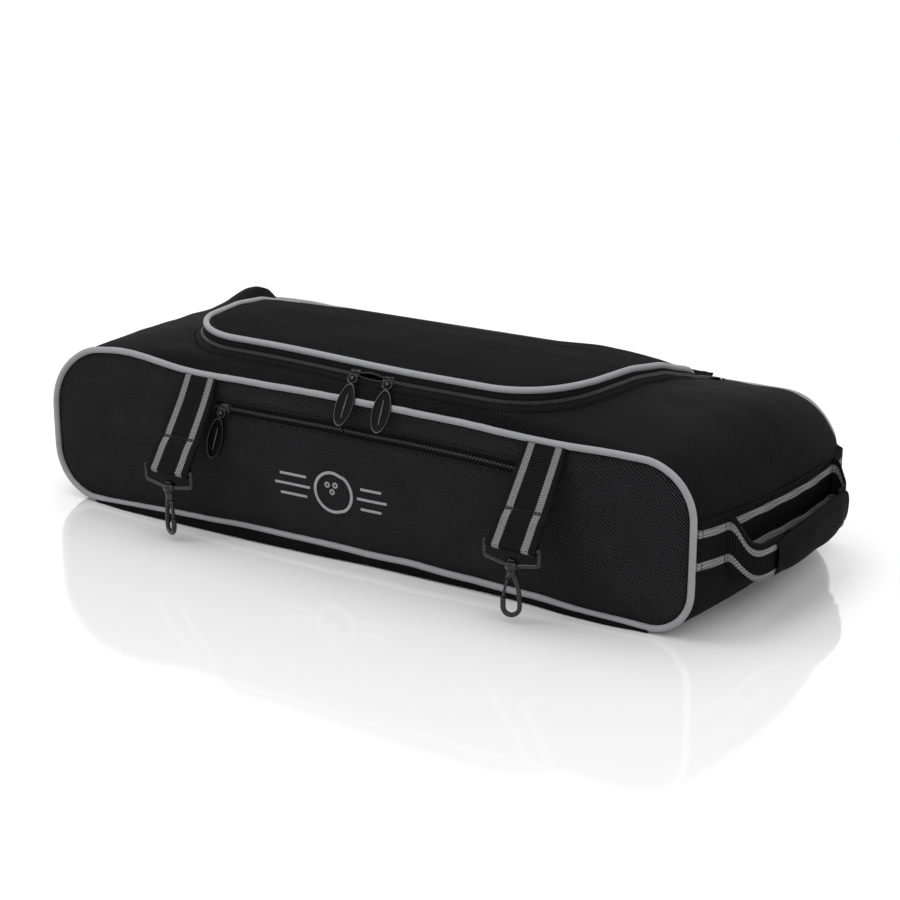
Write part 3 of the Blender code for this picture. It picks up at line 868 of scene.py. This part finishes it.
def lid_point(s, y):
    x = lerp(lid_edge(y, -1), lid_edge(y, 1), s)
    d = min(x - lid_edge(y, -1), lid_edge(y, 1) - x, y - LID_FRONT)
    edge = ease(d / 0.02)
    q = vec(x, y, 0.18)
    share = back_share(y)
    crown = 0.004 * sin(pi * s) ** 0.6 * sin(pi * min(1.0, share * 0.86 + 0.07)) ** 0.7
    z = lid_height(y) - 0.0006 + 0.0018 * edge * (1 - share**6) + crown * (1 - share**5)
    z += (0.0018 * rough(q, 0.085, 2.0) + 0.0006 * rough(q, 0.03, 8.0)) * edge * (1 - 0.7 * share)
    z += 0.0005 * sin(x * 430 + 2 * sin(x * 60)) * (1 - edge) * ease(d / 0.005)
    return vec(x, y + skew(x, y), z)


lid_levels = heights([(LID_FRONT, LID_FRONT + 0.07, 20, -1), (LID_FRONT + 0.07, LID_REAR, 26, 0),
                      (LID_REAR, LID_REAR + 0.0095, 4, 0)])


def lid_at(u, v):
    p = lid_point(u, lid_levels[round(v * (len(lid_levels) - 1))])
    return p, (p.y, p.x)


lid_cloth = Grid().patch(lid_at, 110, len(lid_levels) - 1).make("lid_cloth", LID_TOP, None, thick=0.0018)
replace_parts(lid_bends(lid_cloth), "lid_panel")
cord = [vec(x, y, lid_height(y - skew(x, y))) for x, y in lid_line(0.0) if x < 0 or y < 0.1]
last = cord[-1]
tail = [last + vec(-0.0002 * i, 0.003 * i, -0.0012 * i - 0.0003 * i * i) for i in range(1, 6)]
head = [vec(cord[0].x - 0.0012 * i, LID_REAR + 0.0022 * i, lid_height(LID_REAR) - 0.0016 * i)
        for i in range(4, 0, -1)]
cord = resample(head + cord + tail, 330)
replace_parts(lid_bends(tube("lid_cord", cord, CORD, PIPING, None, sides=14)), "lid_piping")
ring = []
for x, y in lid_line(-0.0058)[2:-2]:
    y -= skew(x, y)
    share = (x - lid_edge(y, -1)) / (lid_edge(y, 1) - lid_edge(y, -1))
    ring.append(lid_point(share, y) + vec(0, 0, 0.0004))
lid_bends(stitches("lid_stitching", ring, None, UP, length=0.0032, gap=0.0014))


def hinge_point(u, v):
    """The cloth under the lid's back edge, from the back piping forwards."""
    x = lerp(LID_SIDES[0][1] - 0.013, LID_SIDES[1][1] + 0.013, u)
    y = lerp(BACK - 0.0015, LID_REAR - 0.006, v)
    z = lerp(settle(x, BACK, TOPZ).z - 0.0006, lid_height(y) - 0.0048, ease(v * 1.2))
    return vec(x, y, z), (y, x)


sink(Grid().patch(hinge_point, 90, 8).make("hinge_cloth", TOP, "bag", thick=0.0008))


def tape(name, a, b, body):
    """Zipper tape round the lid between two (offset, height function) edges."""
    lines = [lid_line(a[0]), lid_line(b[0])]
    n = len(lines[0]) - 1
    run = [0.0]
    for i in range(1, n + 1):
        run.append(run[-1] + length_of(lines[0][i - 1: i + 1]))

    def f(u, v):
        i = round(u * n)
        (xa, ya), (xb, yb) = lines[0][i], lines[1][i]
        za, zb = a[1](xa, ya), b[1](xb, yb)
        bulge = 0.001 * sin(pi * v)
        return vec(lerp(xa, xb, v), lerp(ya, yb, v), lerp(za, zb, v) + bulge), (v * 0.012, run[i])

    made = Grid().patch(f, n, 5).make(name, TAPE, body, thick=0.0007)
    return sink(made) if body else made


TAPE_EDGE = 0.0128  # how far the deck's tape reaches outside the lid's piping line
deck_tape = tape("deck_zip_tape", (TAPE_EDGE, lambda x, y: seam_height(y) - 0.001),
                 (0.0056, lambda x, y: zip_height(x, y, -1) - 0.0006), "bag")
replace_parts(deck_tape, "main_zip_tape")
lid_tape = tape("lid_zip_tape_cloth", (0.004, lambda x, y: zip_height(x, y, 1) + 0.0006),
                (0.0006, lambda x, y: lid_height(y) - 0.0022), None)
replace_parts(lid_bends(lid_tape), "lid_zip_tape")


TOOTH_PITCH = 0.00185


def teeth(name, offset, half, phase, body):
    """One half of the coil round the lid. phase 0 or 1 lets the two halves' teeth alternate."""
    path = [vec(x, y, zip_height(x, y, half)) for x, y in lid_line(offset)]
    even = resample(path, int(length_of(path) / TOOTH_PITCH) * 2)[phase::2]
    runs = headings(even)

    def axes(n):
        side = runs[n].cross(UP).normalized()
        tilt = (side * 0.55 - UP * 0.83).normalized()
        return tilt, tilt.cross(runs[n]).normalized(), runs[n]

    return beads(name, even, (0.0018, 0.0014, 0.00105), COIL, body, axes)


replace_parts(sink(teeth("deck_zip_teeth", 0.0052, -1, 0, "bag")), "main_zip_coil")
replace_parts(lid_bends(teeth("lid_zip_teeth", 0.0044, 1, 1, None)), "lid_zip_coil")
path, offset = [], 0.0098
share = (TAPE_EDGE - offset) / 0.0072
for x, y in lid_line(offset):
    z = lerp(seam_height(y) - 0.001, zip_height(x, y, -1) - 0.0006, share)
    path.append(vec(x, y, z + 0.0011))
sink(stitches("deck_tape_stitches", path, "bag", vec(0, -0.7, 0.7), length=0.0026, gap=0.0012,
              wide=0.0005))

# Inside: the floor's lining, drawn in place of the stiffener, and the pocket's bag behind the front
floor_low, floor_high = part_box("base_board")


def floor_at(u, v):
    x, y = lerp(floor_low[0] - 0.02, floor_high[0] + 0.02, u), lerp(floor_low[1], floor_high[1], v)
    return vec(x, y, floor_high[2] + 0.0006 + 0.0008 * rough((x, y, 0), 0.06, 1.0)), (x, y)


floor_lining = Grid().patch(floor_at, 60, 26).make("floor_lining", LINING, "bag", thick=0.0012)
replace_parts(floor_lining, "base_board")
pouch_low, pouch_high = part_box("pocket_pouch")


def pouch_at(u, v):
    x, z = lerp(pouch_low[0], pouch_high[0], u), lerp(pouch_low[2], pouch_high[2], v)
    y = centre("pocket_pouch")[1] + 0.0008 * rough((x, 0, z), 0.04, 5.0) - 0.0045 * ease((v - 0.88) / 0.12)
    return vec(x, y, z), (x, z)


pocket_lining = Grid().patch(pouch_at, 50, 24).make("pocket_lining", LINING, "bag", thick=0.001)
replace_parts(pocket_lining, "pocket_pouch")

# ---- pocket zipper

MIDZ = (SLOT_Z[0] + SLOT_Z[1]) / 2


def front_line(x0, x1, z, out, steps=90):
    """Points across the front at one height."""
    return [on_front(x, z, out) for x in spread(x0, x1, steps)]


for name, z0, z1, node in (("pocket_tape_low", SLOT_Z[0] - 0.0015, MIDZ - 0.0011, "pocket_zip_tape_lower"),
                           ("pocket_tape_high", MIDZ + 0.0011, SLOT_Z[1] + 0.0015, "pocket_zip_tape_upper")):
    def tape_at(u, v, z0=z0, z1=z1):
        x, z = lerp(SLOT_X[0] - 0.001, SLOT_X[1] + 0.001, u), lerp(z0, z1, v)
        return on_front(x, z, -0.0013), (z, x)

    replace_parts(Grid().patch(tape_at, 120, 4).make(name, TAPE, "bag", thick=0.0006), node)
for name, z, up in (("pocket_lip_low", SLOT_Z[0], -1), ("pocket_lip_high", SLOT_Z[1], 1)):
    tube(name, front_line(*SLOT_X, z, -0.0004), 0.0011, CLOTH, "bag", sides=8, flat=0.8)
    run = front_line(SLOT_X[0] - 0.003, SLOT_X[1] + 0.003, z + up * 0.003, 0.0002)
    stitches(name + "_stitching", run, "bag", TO_FRONT, length=0.003, gap=0.0013, wide=0.0007)
for k, x in enumerate(SLOT_X):
    edge = [on_front(x, z, -0.0004) for z in spread(*SLOT_Z, 8)]
    tube(f"pocket_end_{k}", edge, 0.0011, CLOTH, "bag", sides=8)
count = int((SLOT_X[1] - SLOT_X[0]) / 0.00175)  # teeth
places = [on_front(lerp(*SLOT_X, (i + 0.5) / count), MIDZ + (0.0006 if i % 2 else -0.0006), -0.0004)
          for i in range(count)]
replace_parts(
    beads("pocket_teeth", places, (0.0022, 0.0018, 0.00125), COIL, "bag",
          lambda n: (UP, TO_BACK, RIGHT)), "pocket_zip_coil")

# ---- sliders and pulls


def rounded_plate(a, b, corner, steps=5):
    """Outline points of a plate with round corners, for stacking into a pillowed block."""
    out = []
    for k, (sx, sy) in enumerate(((1, 1), (-1, 1), (-1, -1), (1, -1))):
        for i in range(steps + 1):
            t = radians(90 * k + 90 * i / steps)
            out.append((sx * (a - corner) + corner * cos(t), sy * (b - corner) + corner * sin(t)))
    return out


def slider_plate(name, half_x, half_y, lift, node, where):
    """One plate of a slider, with pillowed edges and a narrower middle."""
    shape = rounded_plate(half_x, half_y, 0.0022)
    levels = ((0.0, 0.0005), (0.0003, 0.0001), (0.0012, 0.0), (0.0018, 0.0006))  # height, inset
    verts = []
    for z, inset in levels:
        for x, y in shape:
            k = 1 - inset / max(abs(x), abs(y), 1e-6)
            pinch = 1 - 0.12 * bell(y, 0, half_y * 0.55)
            verts.append(where @ vec(x * k * pinch, y * k, z + lift))
    return thing(name, verts, stacked(len(levels), len(shape)), METAL, node)


def slider(name, node, where):
    """Slider body: its upper and lower plates, and the bridge over the top."""
    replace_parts(slider_plate(name + "_top_plate", 0.0046, 0.0056, 0.0012, node, where), node)
    slider_plate(name + "_low_plate", 0.0044, 0.0054, -0.0026, node, where)
    arch = [where @ vec(0, y, 0.0028 + 0.0024 * sin(pi * i / 16) ** 0.6)
            for i, y in enumerate(spread(-0.0042, 0.0042, 16))]
    tube(name + "_bridge", arch, 0.0011, METAL, node, sides=10, up=where.to_3x3() @ UP, flat=0.7)


def oval_pull(name, node, where):
    """A dished oval pull with a raised rim, a plain rib down its middle, and an eye at its top.
    It points along local -Y from its pivot, with its face up."""
    size = 0.053
    middle, reach, half = -size * 0.6, size * 0.4, 0.0086
    # Share of the width, and height; the fourth strip is the rim, painted lighter than the pull as a painted
    # highlight
    rings = ((1.0, -0.0009), (1.02, 0.0), (1.01, 0.001), (0.975, 0.0014), (0.935, 0.0012), (0.9, 0.0006),
             (0.84, 0.00035), (0.5, 0.0004), (0.0, 0.0004))
    rim_ring = 3
    n, verts, faces = 56, [], []
    for grow, z in rings:
        for k in range(n):
            t = 2 * pi * k / n
            point = 0.1 * max(0.0, cos(t)) ** 3
            y = middle + reach * cos(t) * grow * (1 + point)
            verts.append(where @ vec(half * sin(t) * grow, y, z))
    for i in range(len(rings) - 1):
        for k in range(n):
            a, b = i * n + k, i * n + (k + 1) % n
            faces.append((a, a + n, b + n, b))
    faces.append(tuple(range(n)))
    plate = thing(name, verts, faces, PULL, node)
    plate.data.materials.append(RIM_HIGHLIGHT)
    for poly in plate.data.polygons:
        on_rim = poly.vertices[0] // n == rim_ring and len(poly.vertices) == 4
        poly.material_index = 1 if on_rim else 0
    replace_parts(plate, node)
    # The rib takes the rim's painted highlight colour.
    rib = [where @ vec(0, middle + y, 0.0006) for y in spread(0.0125, -0.0125, 12)]
    up = where.to_3x3() @ UP
    tube(name + "_rib", rib, lambda s: 0.00055 * (0.4 + 0.6 * sin(pi * min(1, max(0, s)))) + 0.0001, RIM_HIGHLIGHT,
         node, sides=8, up=up)
    eye = [where @ vec(0.0042 * sin(2 * pi * i / 28), -0.0035 + 0.0046 * cos(2 * pi * i / 28), 0.0002)
           for i in range(28)]
    tube(name + "_eye", eye, 0.00105, METAL, node, sides=10, up=up, closed=True)
    ball = [(0.0023 * sin(pi * i / 10), -0.0023 * cos(pi * i / 10)) for i in range(1, 10)]
    ball = [(0.0001, -0.0022)] + ball + [(0.0001, 0.0022)]
    lathe(name + "_knob", ball, SHINE, node, where @ Matrix.Translation((0, -0.0035, 0.0008)), sides=16)


for side, x in zip(("left", "right"), SLIDERS):
    node = "main_slider_" + side
    closed_x = x + (0.012 if side == "right" else -0.012)  # where the coil's halves meet again
    seat = vec(x, centre(node)[1] + 0.0026 + skew(x, LID_FRONT) * 0.5,
                   zip_height(closed_x, LID_FRONT, 0) + 0.0002)
    slider("slider_" + side, node, Matrix.Translation(seat) @ turned(46, "X") @ turned(90, "Z"))
    hang = Matrix.Translation(pivot_of(f"main_pull_{side}_swing") + vec(0.003, -0.0038, 0.0005))
    hang = hang @ turned(12 if side == "left" else 17, "Z") @ turned(47, "X")
    oval_pull("pull_" + side, "main_pull_" + side, hang)
upright = Matrix.Translation(on_front(centre("pocket_slider")[0], MIDZ, 0.0006))
slider("slider_pocket", "pocket_slider", upright @ turned(90, "X") @ turned(90, "Z"))
hang = Matrix.Translation(pivot_of("pocket_pull_swing") + vec(-0.0015, 0.0006, 0.006))
oval_pull("pull_pocket", "pocket_pull", hang @ turned(17, "Y") @ turned(90, "X"))

# ---- straps and hooks


def strap(side):
    node = "strap_" + side
    lo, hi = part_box(node)
    top, bar = pivot_of(f"strap_{side}_lift"), pivot_of(f"hook_frame_{side}_swing")
    lean = 2 * ((lo[0] + hi[0]) / 2 - bar.x)
    wide = hi[0] - lo[0] - lean
    rise = top.z - bar.z
    r = 0.0036  # of the loop round the frame's bar
    top.x = bar.x
    down = [bezier(top + vec(0, 0.0004, 0.0006), (bar.x, -0.1575, 0.132), (bar.x, -0.1825, 0.087),
                   (bar.x, bar.y - r, bar.z), i / 40) for i in range(41)]
    tack = min(range(41), key=lambda i: abs(down[i].z - bar.z - 0.029))
    run = (down[tack + 1] - down[tack - 1]).normalized()
    face = vec(0, run.z, -run.y)
    for i, p in enumerate(down):
        gap = (p - down[tack]).length if i != tack else 0.0
        away = ease(min(1.0, max(0.0, (i - tack) / 4))) * (1 - ease((i - tack) / 16))
        down[i] = p + face * (0.0014 * away - 0.0006 * bell(gap, 0, 0.003))
    turn = [bar + vec(0, -r * cos(pi * i / 10), -r * sin(pi * i / 10)) for i in range(11)]
    back = []
    for i in range(27, tack - 1, -1):
        step = (down[i + 1] - down[i - 1]).normalized()
        back.append(down[i] + vec(0, -step.z, step.y) * 0.0022)
    path = down[:-1] + turn + [bar + vec(0, r - 0.0004, 0.0065)] + back
    webb = ribbon(node + "_webbing", resample(path, 110), RIGHT, wide, 0.0016, WEBBING, node)
    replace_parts(webb, node)

    def leaned(p):
        """Shifted towards the sewn end, and drawn up under the piping."""
        share = min(1.0, max(0.0, p.z - bar.z) / rise)
        off = p.x - bar.x
        inner = min(0.0178, max(-0.0178, off))
        p.x = bar.x + inner * (1.03 - 0.08 * share) + (off - inner) * (1 - 0.5 * share**2) + lean * share
        up = max(0.0, (p.z - top.z + 0.02) / 0.02)
        p.z += up * (settle(p.x, FRONT, TOPZ).z - 0.003 - top.z)
        return p

    for vert in webb.data.vertices:
        vert.co = leaned(vert.co.copy())
    # the two rows of stitches that close the loop
    for k, drop in enumerate((-0.0007, 0.0007)):
        start = down[tack] + face * 0.0009 + run * drop
        across = [leaned(start + vec(x, 0, 0)) for x in spread(-0.0225, 0.0225, 12)]
        stitches(f"{node}_tack_{k}", across, node, face, length=0.0022, gap=0.0005, wide=0.0011)


def hook(side):
    frame_node, hook_node, gate_node = "hook_frame_" + side, "snap_hook_" + side, "gate_" + side
    bar, swivel = pivot_of(f"hook_frame_{side}_swing"), pivot_of(f"snap_hook_{side}_swivel")
    pin, gate_axis = pivot_of(f"gate_{side}_open"), Vector(JOINTS[f"gate_{side}_open"]["axis"])
    lo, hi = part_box(frame_node)
    half = (hi[0] - lo[0]) / 2 - 0.002
    x, y = bar.x, bar.y
    arm = [(half - 0.001, 0.0), (half, -0.0012), (half, -0.0118), (half - 0.001, -0.013),
           (0.0062, -0.0168)]
    path = [(-a, b) for a, b in arm] + [(0.0, -0.017)] + arm[::-1]
    path = resample([(x + a, y, bar.z + b) for a, b in path], 70)
    frame_rod = tube(frame_node + "_rod", path, 0.00195, HOOK, frame_node, up=TO_BACK, flat=0.85)
    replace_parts(frame_rod, frame_node)
    path = [(x + off, y, bar.z) for off in spread(-half - 0.0012, half + 0.0012, 10)]
    tube(frame_node + "_bar", path, 0.002, HOOK, frame_node, sides=14)
    knob = [(0.0001, -0.0014), (0.0018, -0.0012), (0.0025, -0.0004), (0.0026, 0.0006), (0.002, 0.0014),
            (0.0001, 0.0017)]
    for k, s in enumerate((-1, 1)):
        lathe(f"{frame_node}_knob_{k}", knob, HOOK, frame_node,
              Matrix.Translation((x + s * half, y, bar.z + 0.0001)) @ turned(90 * s, "Y"), sides=18)
    eye = [(0.0027, -0.0037), (0.005, -0.0038), (0.006, -0.003), (0.0062, 0.0), (0.006, 0.0028),
           (0.005, 0.0037), (0.0027, 0.0037)]
    lathe(frame_node + "_eye", eye, HOOK, frame_node, Matrix.Translation(swivel), sides=28)

    # swivel stem, flared neck, body, nose and gate, in the hook's own plane
    along = gate_axis.cross(UP).normalized()
    along = -along if along.dot(pin - swivel) < 0 else along
    place = Matrix(((along.x, gate_axis.x, 0, x), (along.y, gate_axis.y, 0, y), (0, 0, 1, 0), (0, 0, 0, 1)))

    def at(a, z):
        return place @ vec(a, 0.0, z)

    stem = [(0.0001, 0.0594), (0.0026, 0.0592), (0.0036, 0.0584), (0.0037, 0.0576), (0.0034, 0.057),
            (0.002, 0.0568), (0.002, 0.049), (0.0034, 0.0488), (0.0042, 0.048), (0.0044, 0.0466),
            (0.004, 0.0448), (0.0034, 0.043), (0.0001, 0.0424)]
    lathe(hook_node + "_stem", stem, HOOK, hook_node, Matrix.Translation((x, y, 0)), sides=24)
    spine = [(0.0006, 0.0474), (-0.002, 0.044), (-0.004, 0.0395), (-0.0056, 0.0335), (-0.0066, 0.026),
             (-0.0071, 0.019)]
    spine += [(-0.0072 * cos(pi * i / 14), 0.0142 - 0.0072 * sin(pi * i / 14)) for i in range(15)]
    spine += [(0.0073, 0.018), (0.0072, 0.0222)]
    spine = resample([at(a, z) for a, z in spine], 70)

    def girth(s):
        if s < 0.6:
            return lerp(0.0026, 0.0021, ease(s / 0.35))
        return lerp(0.0021, 0.0024, ease((s - 0.6) / 0.3))

    body = tube(hook_node + "_body", spine, girth, HOOK, hook_node, sides=16, up=gate_axis, flat=1.05)
    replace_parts(body, hook_node)
    shoulder = [at(0.0005, 0.047), at(0.0022, 0.044), at(0.0036, 0.0412)]
    tube(hook_node + "_shoulder", resample(shoulder, 10), lambda s: lerp(0.003, 0.0021, s), HOOK, hook_node,
         sides=14, up=gate_axis)
    strip = [(0.0036, 0.0398), (0.0042, 0.037), (0.0056, 0.032), (0.0066, 0.027), (0.007, 0.0236)]
    gate = tube(gate_node + "_strip", resample([at(a, z) for a, z in strip], 24), 0.0013, HOOK, gate_node,
                sides=10, up=gate_axis, flat=1.35)
    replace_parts(gate, gate_node)
    rivet = [(0.0001, -0.0024), (0.0011, -0.0022), (0.0014, -0.0014), (0.0014, 0.0014), (0.0011, 0.0022),
             (0.0001, 0.0024)]
    turn = UP.rotation_difference(gate_axis).to_matrix().to_4x4()
    lathe(gate_node + "_rivet", rivet, SHINE, gate_node, Matrix.Translation(pin) @ turn, sides=16)


for side in ("left", "right"):
    strap(side)
    hook(side)

# ---- end handle


def on_end(y, z, out):
    """A point on the right end's cloth."""
    ks = sorted(range(starts["br"], starts["top"] + 1), key=lambda k: OUT[k][1])
    v = min(1.0, max(0.0, (y - FRONT - SEAM_IN) / (DEPTH - 2 * SEAM_IN)))
    for a, b in zip(ks, ks[1:]):
        if OUT[b][1] >= z:
            t = (z - OUT[a][1]) / max(1e-6, OUT[b][1] - OUT[a][1])
            p = gusset_point(a, v).lerp(gusset_point(b, v), t)
            return vec(p.x + out, y, p.z)
    return vec(HALF + out, y, z)


strip_low, strip_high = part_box("end_handle_strip")
tab_front, tab_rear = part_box("end_handle_tab_front"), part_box("end_handle_tab_rear")
wide = strip_high[2] - strip_low[2]
mid = (strip_low[2] + strip_high[2]) / 2


def end_strip(name, y0, y1, out, drop=0.0):
    """Webbing sewn flat on the right end, from y0 to y1, and its path."""
    path = []
    for y in spread(y0, y1, 60):
        z = mid + 0.008 * (1 - share_deep(y)) ** 2 - drop
        path.append((on_end(y, z - wide * 0.3, out) + on_end(y, z + wide * 0.3, out)) / 2)
        path[-1].z = z
    return ribbon(name, path, UP, wide, WEB_THICK, WEBBING, "bag"), path


made, _ = end_strip("end_strip", strip_low[1] - 0.002, strip_high[1] + 0.002, 0.0016)
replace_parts(made, "end_handle_strip")
made, front_path = end_strip("handle_tab_front", tab_front[0][1] - 0.002, tab_front[1][1] - 0.006, 0.0035,
                             drop=0.0006)
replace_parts(made, "end_handle_tab_front")
made, rear_path = end_strip("handle_tab_rear", tab_rear[0][1] - 0.003, tab_rear[1][1] + 0.002, 0.0035,
                            drop=0.0006)
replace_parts(made, "end_handle_tab_rear")
for name, path, spots in (("front", front_path, (6, 50)), ("rear", rear_path, (10, 54))):
    for k, spot in enumerate(spots):
        column = [path[spot] + vec(0.0011, 0, z) for z in spread(-wide / 2 + 0.003, wide / 2 - 0.003, 10)]
        stitches(f"handle_tack_{name}_{k}", column, "bag", RIGHT, length=0.0022, gap=0.0009, wide=0.0008)

grip_low, grip_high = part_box("end_handle_grip")
gx, _, gz = centre("end_handle_grip")
g0, g1 = grip_low[1], grip_high[1]


def handle_run(name, start, grip_y, inward):
    """Webbing between a sewn tab and the grip: it stands off the end and drops, and its lower edge rolls
    under."""
    a, d = start, vec(gx, grip_y, start.z)
    if inward > 0:
        b, c = a + vec(0.02, 0.003, 0), d + vec(-0.001, -0.022, 0)
    else:
        b, c = a + vec(0.014, -0.002, 0), d + vec(-0.003, 0.014, 0)
    path = [bezier(a, b, c, d, i / 24) for i in range(25)]
    path += [d + vec(0, inward * 0.012 * i / 4, 0) for i in range(1, 5)]
    made = ribbon(name, path, UP, wide, WEB_THICK, WEBBING, None)
    uvs = made.data.uv_layers[0].data
    across = {corner.vertex_index: uvs[corner.index].uv[0] for corner in made.data.loops}
    for n, vert in enumerate(made.data.vertices):
        share = (vert.co.x - a.x) / (d.x - a.x)
        far, level = ease((share - 0.2) / 0.5), across.get(n, 0.0)
        over = max(0.0, -level - 0.0185) * far
        sunk = (start.z - gz + (0.003 if inward > 0 else 0.001)) * ease((share - 0.06) / 0.9)
        squeeze = (0.2 if inward > 0 else 0.07) * far * level
        vert.co += vec(-0.6 * over, 0, 0.8 * over - squeeze - sunk)
    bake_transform(made)
    return made


run = handle_run("handle_webbing_front", front_path[-1] + vec(0.0003, -0.002, 0), g0 + 0.004, 1)
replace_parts(run, "end_handle_webbing")
handle_run("handle_webbing_rear", rear_path[0] + vec(0.0003, 0.002, 0), g1 - 0.004, -1)


def grip_point(u, v):
    """The wrapped grip: cloth rolled round the webbing, full in the middle and drawn in at its ends."""
    y = lerp(g0, g1, v)
    t = 2 * pi * u
    end = min(v, 1 - v)
    fat = lerp(0.0046, 0.0082, ease(end / 0.22))
    front = 1 - ease(v / 0.55)
    tall = lerp(0.0168, 0.0182, ease(end / 0.15)) - 0.0018 * ease((v - 0.8) / 0.2) - 0.002 * front
    cx, cz = cos(t), sin(t)
    q = vec(cx * 0.02, y, cz * 0.03)
    fold = 0.0011 * rough(q, 0.03, 4.0) + 0.0007 * sin(y * 95 + cz * 2.4 + 1.5 * rough(q, 0.05, 2.0))
    fold *= ease(end / 0.1)
    px = abs(cx) ** 0.85 * (1 if cx > 0 else -1) * (fat + fold)
    pz = abs(cz) ** 0.85 * (1 if cz > 0 else -1) * (tall + 0.5 * fold)
    bow = 0.003 * sin(pi * v)
    z = gz - 0.0004 - 0.0026 * front + 0.002 * ease((v - 0.8) / 0.2) + pz
    return vec(gx + bow + px + 0.06 * pz, y, z), (u * 0.11, y)


grip = Grid().patch(grip_point, 40, 90, wrap_u=True, flip=True)
grip_cloth = grip.make("grip_wrap", TOP, "end_handle", thick=0.0012)
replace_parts(grip_cloth, "end_handle_grip")
for k, v in enumerate((0.035, 0.965)):
    loop = [grip_point(i / 48, v)[0] for i in range(49)]
    middle = sum(loop, Vector()) / len(loop)
    loop = [middle + (p - middle) * 1.03 for p in loop]
    stitches(f"grip_stitches_{k}", loop, "end_handle", lambda p, m=middle: (p - m).normalized(),
             length=0.0028, gap=0.0012)
seam_run = [grip_point(0.52, v / 40)[0] - vec(0.0004, 0, 0) for v in range(2, 39)]
stitches("grip_seam", seam_run, "end_handle", vec(-1, 0, 0), length=0.0028, gap=0.0013)

# Webbing sewn along the back's upper edge
lo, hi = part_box("rear_webbing")
_, y, z = centre("rear_webbing")
path = []
for i in range(81):
    x = panel_point(lerp(lo[0], hi[0], i / 80), lerp(lo[2], hi[2], 0.5), BACK, 1).x
    path.append(vec(x, y, z + lerp(-0.0016, -0.0002, i / 80)))
rear = ribbon("rear_band", path, UP, hi[2] - lo[2], WEB_THICK, EDGE_WEBBING, "bag")
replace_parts(rear, "rear_webbing")
for k, z in enumerate((lo[2] + 0.003, hi[2] - 0.003)):
    run = [vec(p.x, hi[1] + 0.0003, z) for p in path]
    stitches(f"rear_band_stitches_{k}", run, "bag", TO_BACK)

# ---- embroidery: a plain ball with finger holes

lo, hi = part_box("emblem")
ex, _, ez = centre("emblem")
er = (hi[0] - lo[0]) / 2


def satin(name, points, wide, pitch=0.00055):
    """Satin stitch along a line on the front: threads laid side by side across it."""
    path = resample(points, max(3, int(length_of(points) / pitch)))
    runs = headings(path)

    def axes(n):
        side = runs[n].cross(TO_FRONT).normalized()
        return side, TO_FRONT, runs[n]

    return beads(name, path, (wide, 0.0009, pitch * 0.95), EMBROIDERY, "bag", axes)


THREAD_RISE = 0.0003  # how far the embroidery stands off the cloth


def ring_at(cx, cz, r, n=80):
    return [on_front(cx + r * cos(2 * pi * i / n), cz + r * sin(2 * pi * i / n), THREAD_RISE)
            for i in range(n + 1)]


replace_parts(satin("emblem_ring", ring_at(ex, ez, er - 0.0014), 0.0028), "emblem")
for k, (a, b) in enumerate(((-0.0055, 0.007), (0.0035, 0.0078), (-0.0002, 0.0005))):
    satin(f"emblem_hole_{k}", ring_at(ex + a, ez + b, 0.0022, 24), 0.0016)
for k, (z, x0, x1) in enumerate(((0.01, -0.06, -0.03), (0.0, -0.066, -0.026), (-0.01, -0.06, -0.03),
                                 (0.01, 0.03, 0.052), (0.0, 0.026, 0.058), (-0.01, 0.03, 0.052))):
    lane = [on_front(ex + x, ez + z, THREAD_RISE) for x in spread(x0, x1, 20)]
    satin(f"emblem_lane_{k}", lane, 0.0024)

# ---- floor, light and camera

floor_mesh = bpy.data.meshes.new("floor")
floor_mesh.from_pydata([(-30, -30, 0), (30, -30, 0), (30, 30, 0), (-30, 30, 0)], [], [(0, 1, 2, 3)])
floor_look = Look("white_floor", (0.76, 0.76, 0.76), 0.08, gloss=1.0)
fill(floor_look.shader, {"Coat Weight": 0.6, "Coat Roughness": 0.05})
floor_mesh.materials.append(floor_look.made)
floor = bpy.data.objects.new("floor", floor_mesh)
floor.location.z = -0.0005
bpy.context.scene.collection.objects.link(floor)

world = bpy.data.worlds.new("studio")
world.use_nodes = True
fill(world.node_tree.nodes["Background"], {"Color": (1.0, 1.0, 1.0, 1), "Strength": 1.1})
bpy.context.scene.world = world


def softbox(name, place, aim, size, power):
    data = bpy.data.lights.new(name, "AREA")
    data.shape = "RECTANGLE"
    data.size, data.size_y = size
    data.energy = power
    made = bpy.data.objects.new(name, data)
    made.location = place
    made.rotation_euler = (Vector(aim) - Vector(place)).to_track_quat("-Z", "Y").to_euler()
    bpy.context.scene.collection.objects.link(made)


softbox("top", (-0.2, 0.1, 1.7), (0, 0, 0.1), (1.6, 1.2), 12)
softbox("key", (-1.5, -1.3, 1.5), (0, -0.1, 0.1), (0.9, 0.9), 12)
softbox("fill", (1.7, -0.9, 0.9), (0.2, 0, 0.1), (1.2, 1.2), 8)

view = bpy.context.scene.view_settings
view.view_transform = "Standard"
view.look = "None"

camera = bpy.data.objects.new("camera", bpy.data.cameras.new("camera"))
camera.data.lens = 85.0
camera.data.sensor_width = 36.0
az, el, away = radians(32.97), radians(17.84), 2.0615  # the photograph's view
target = vec(0.0199, 0.0, 0.0718)
back = vec(sin(az) * cos(el), -cos(az) * cos(el), sin(el))
camera.location = target + back * away
camera.rotation_euler = back.to_track_quat("Z", "Y").to_euler()
camera.data.clip_end = 100.0
bpy.context.scene.collection.objects.link(camera)
bpy.context.scene.camera = camera
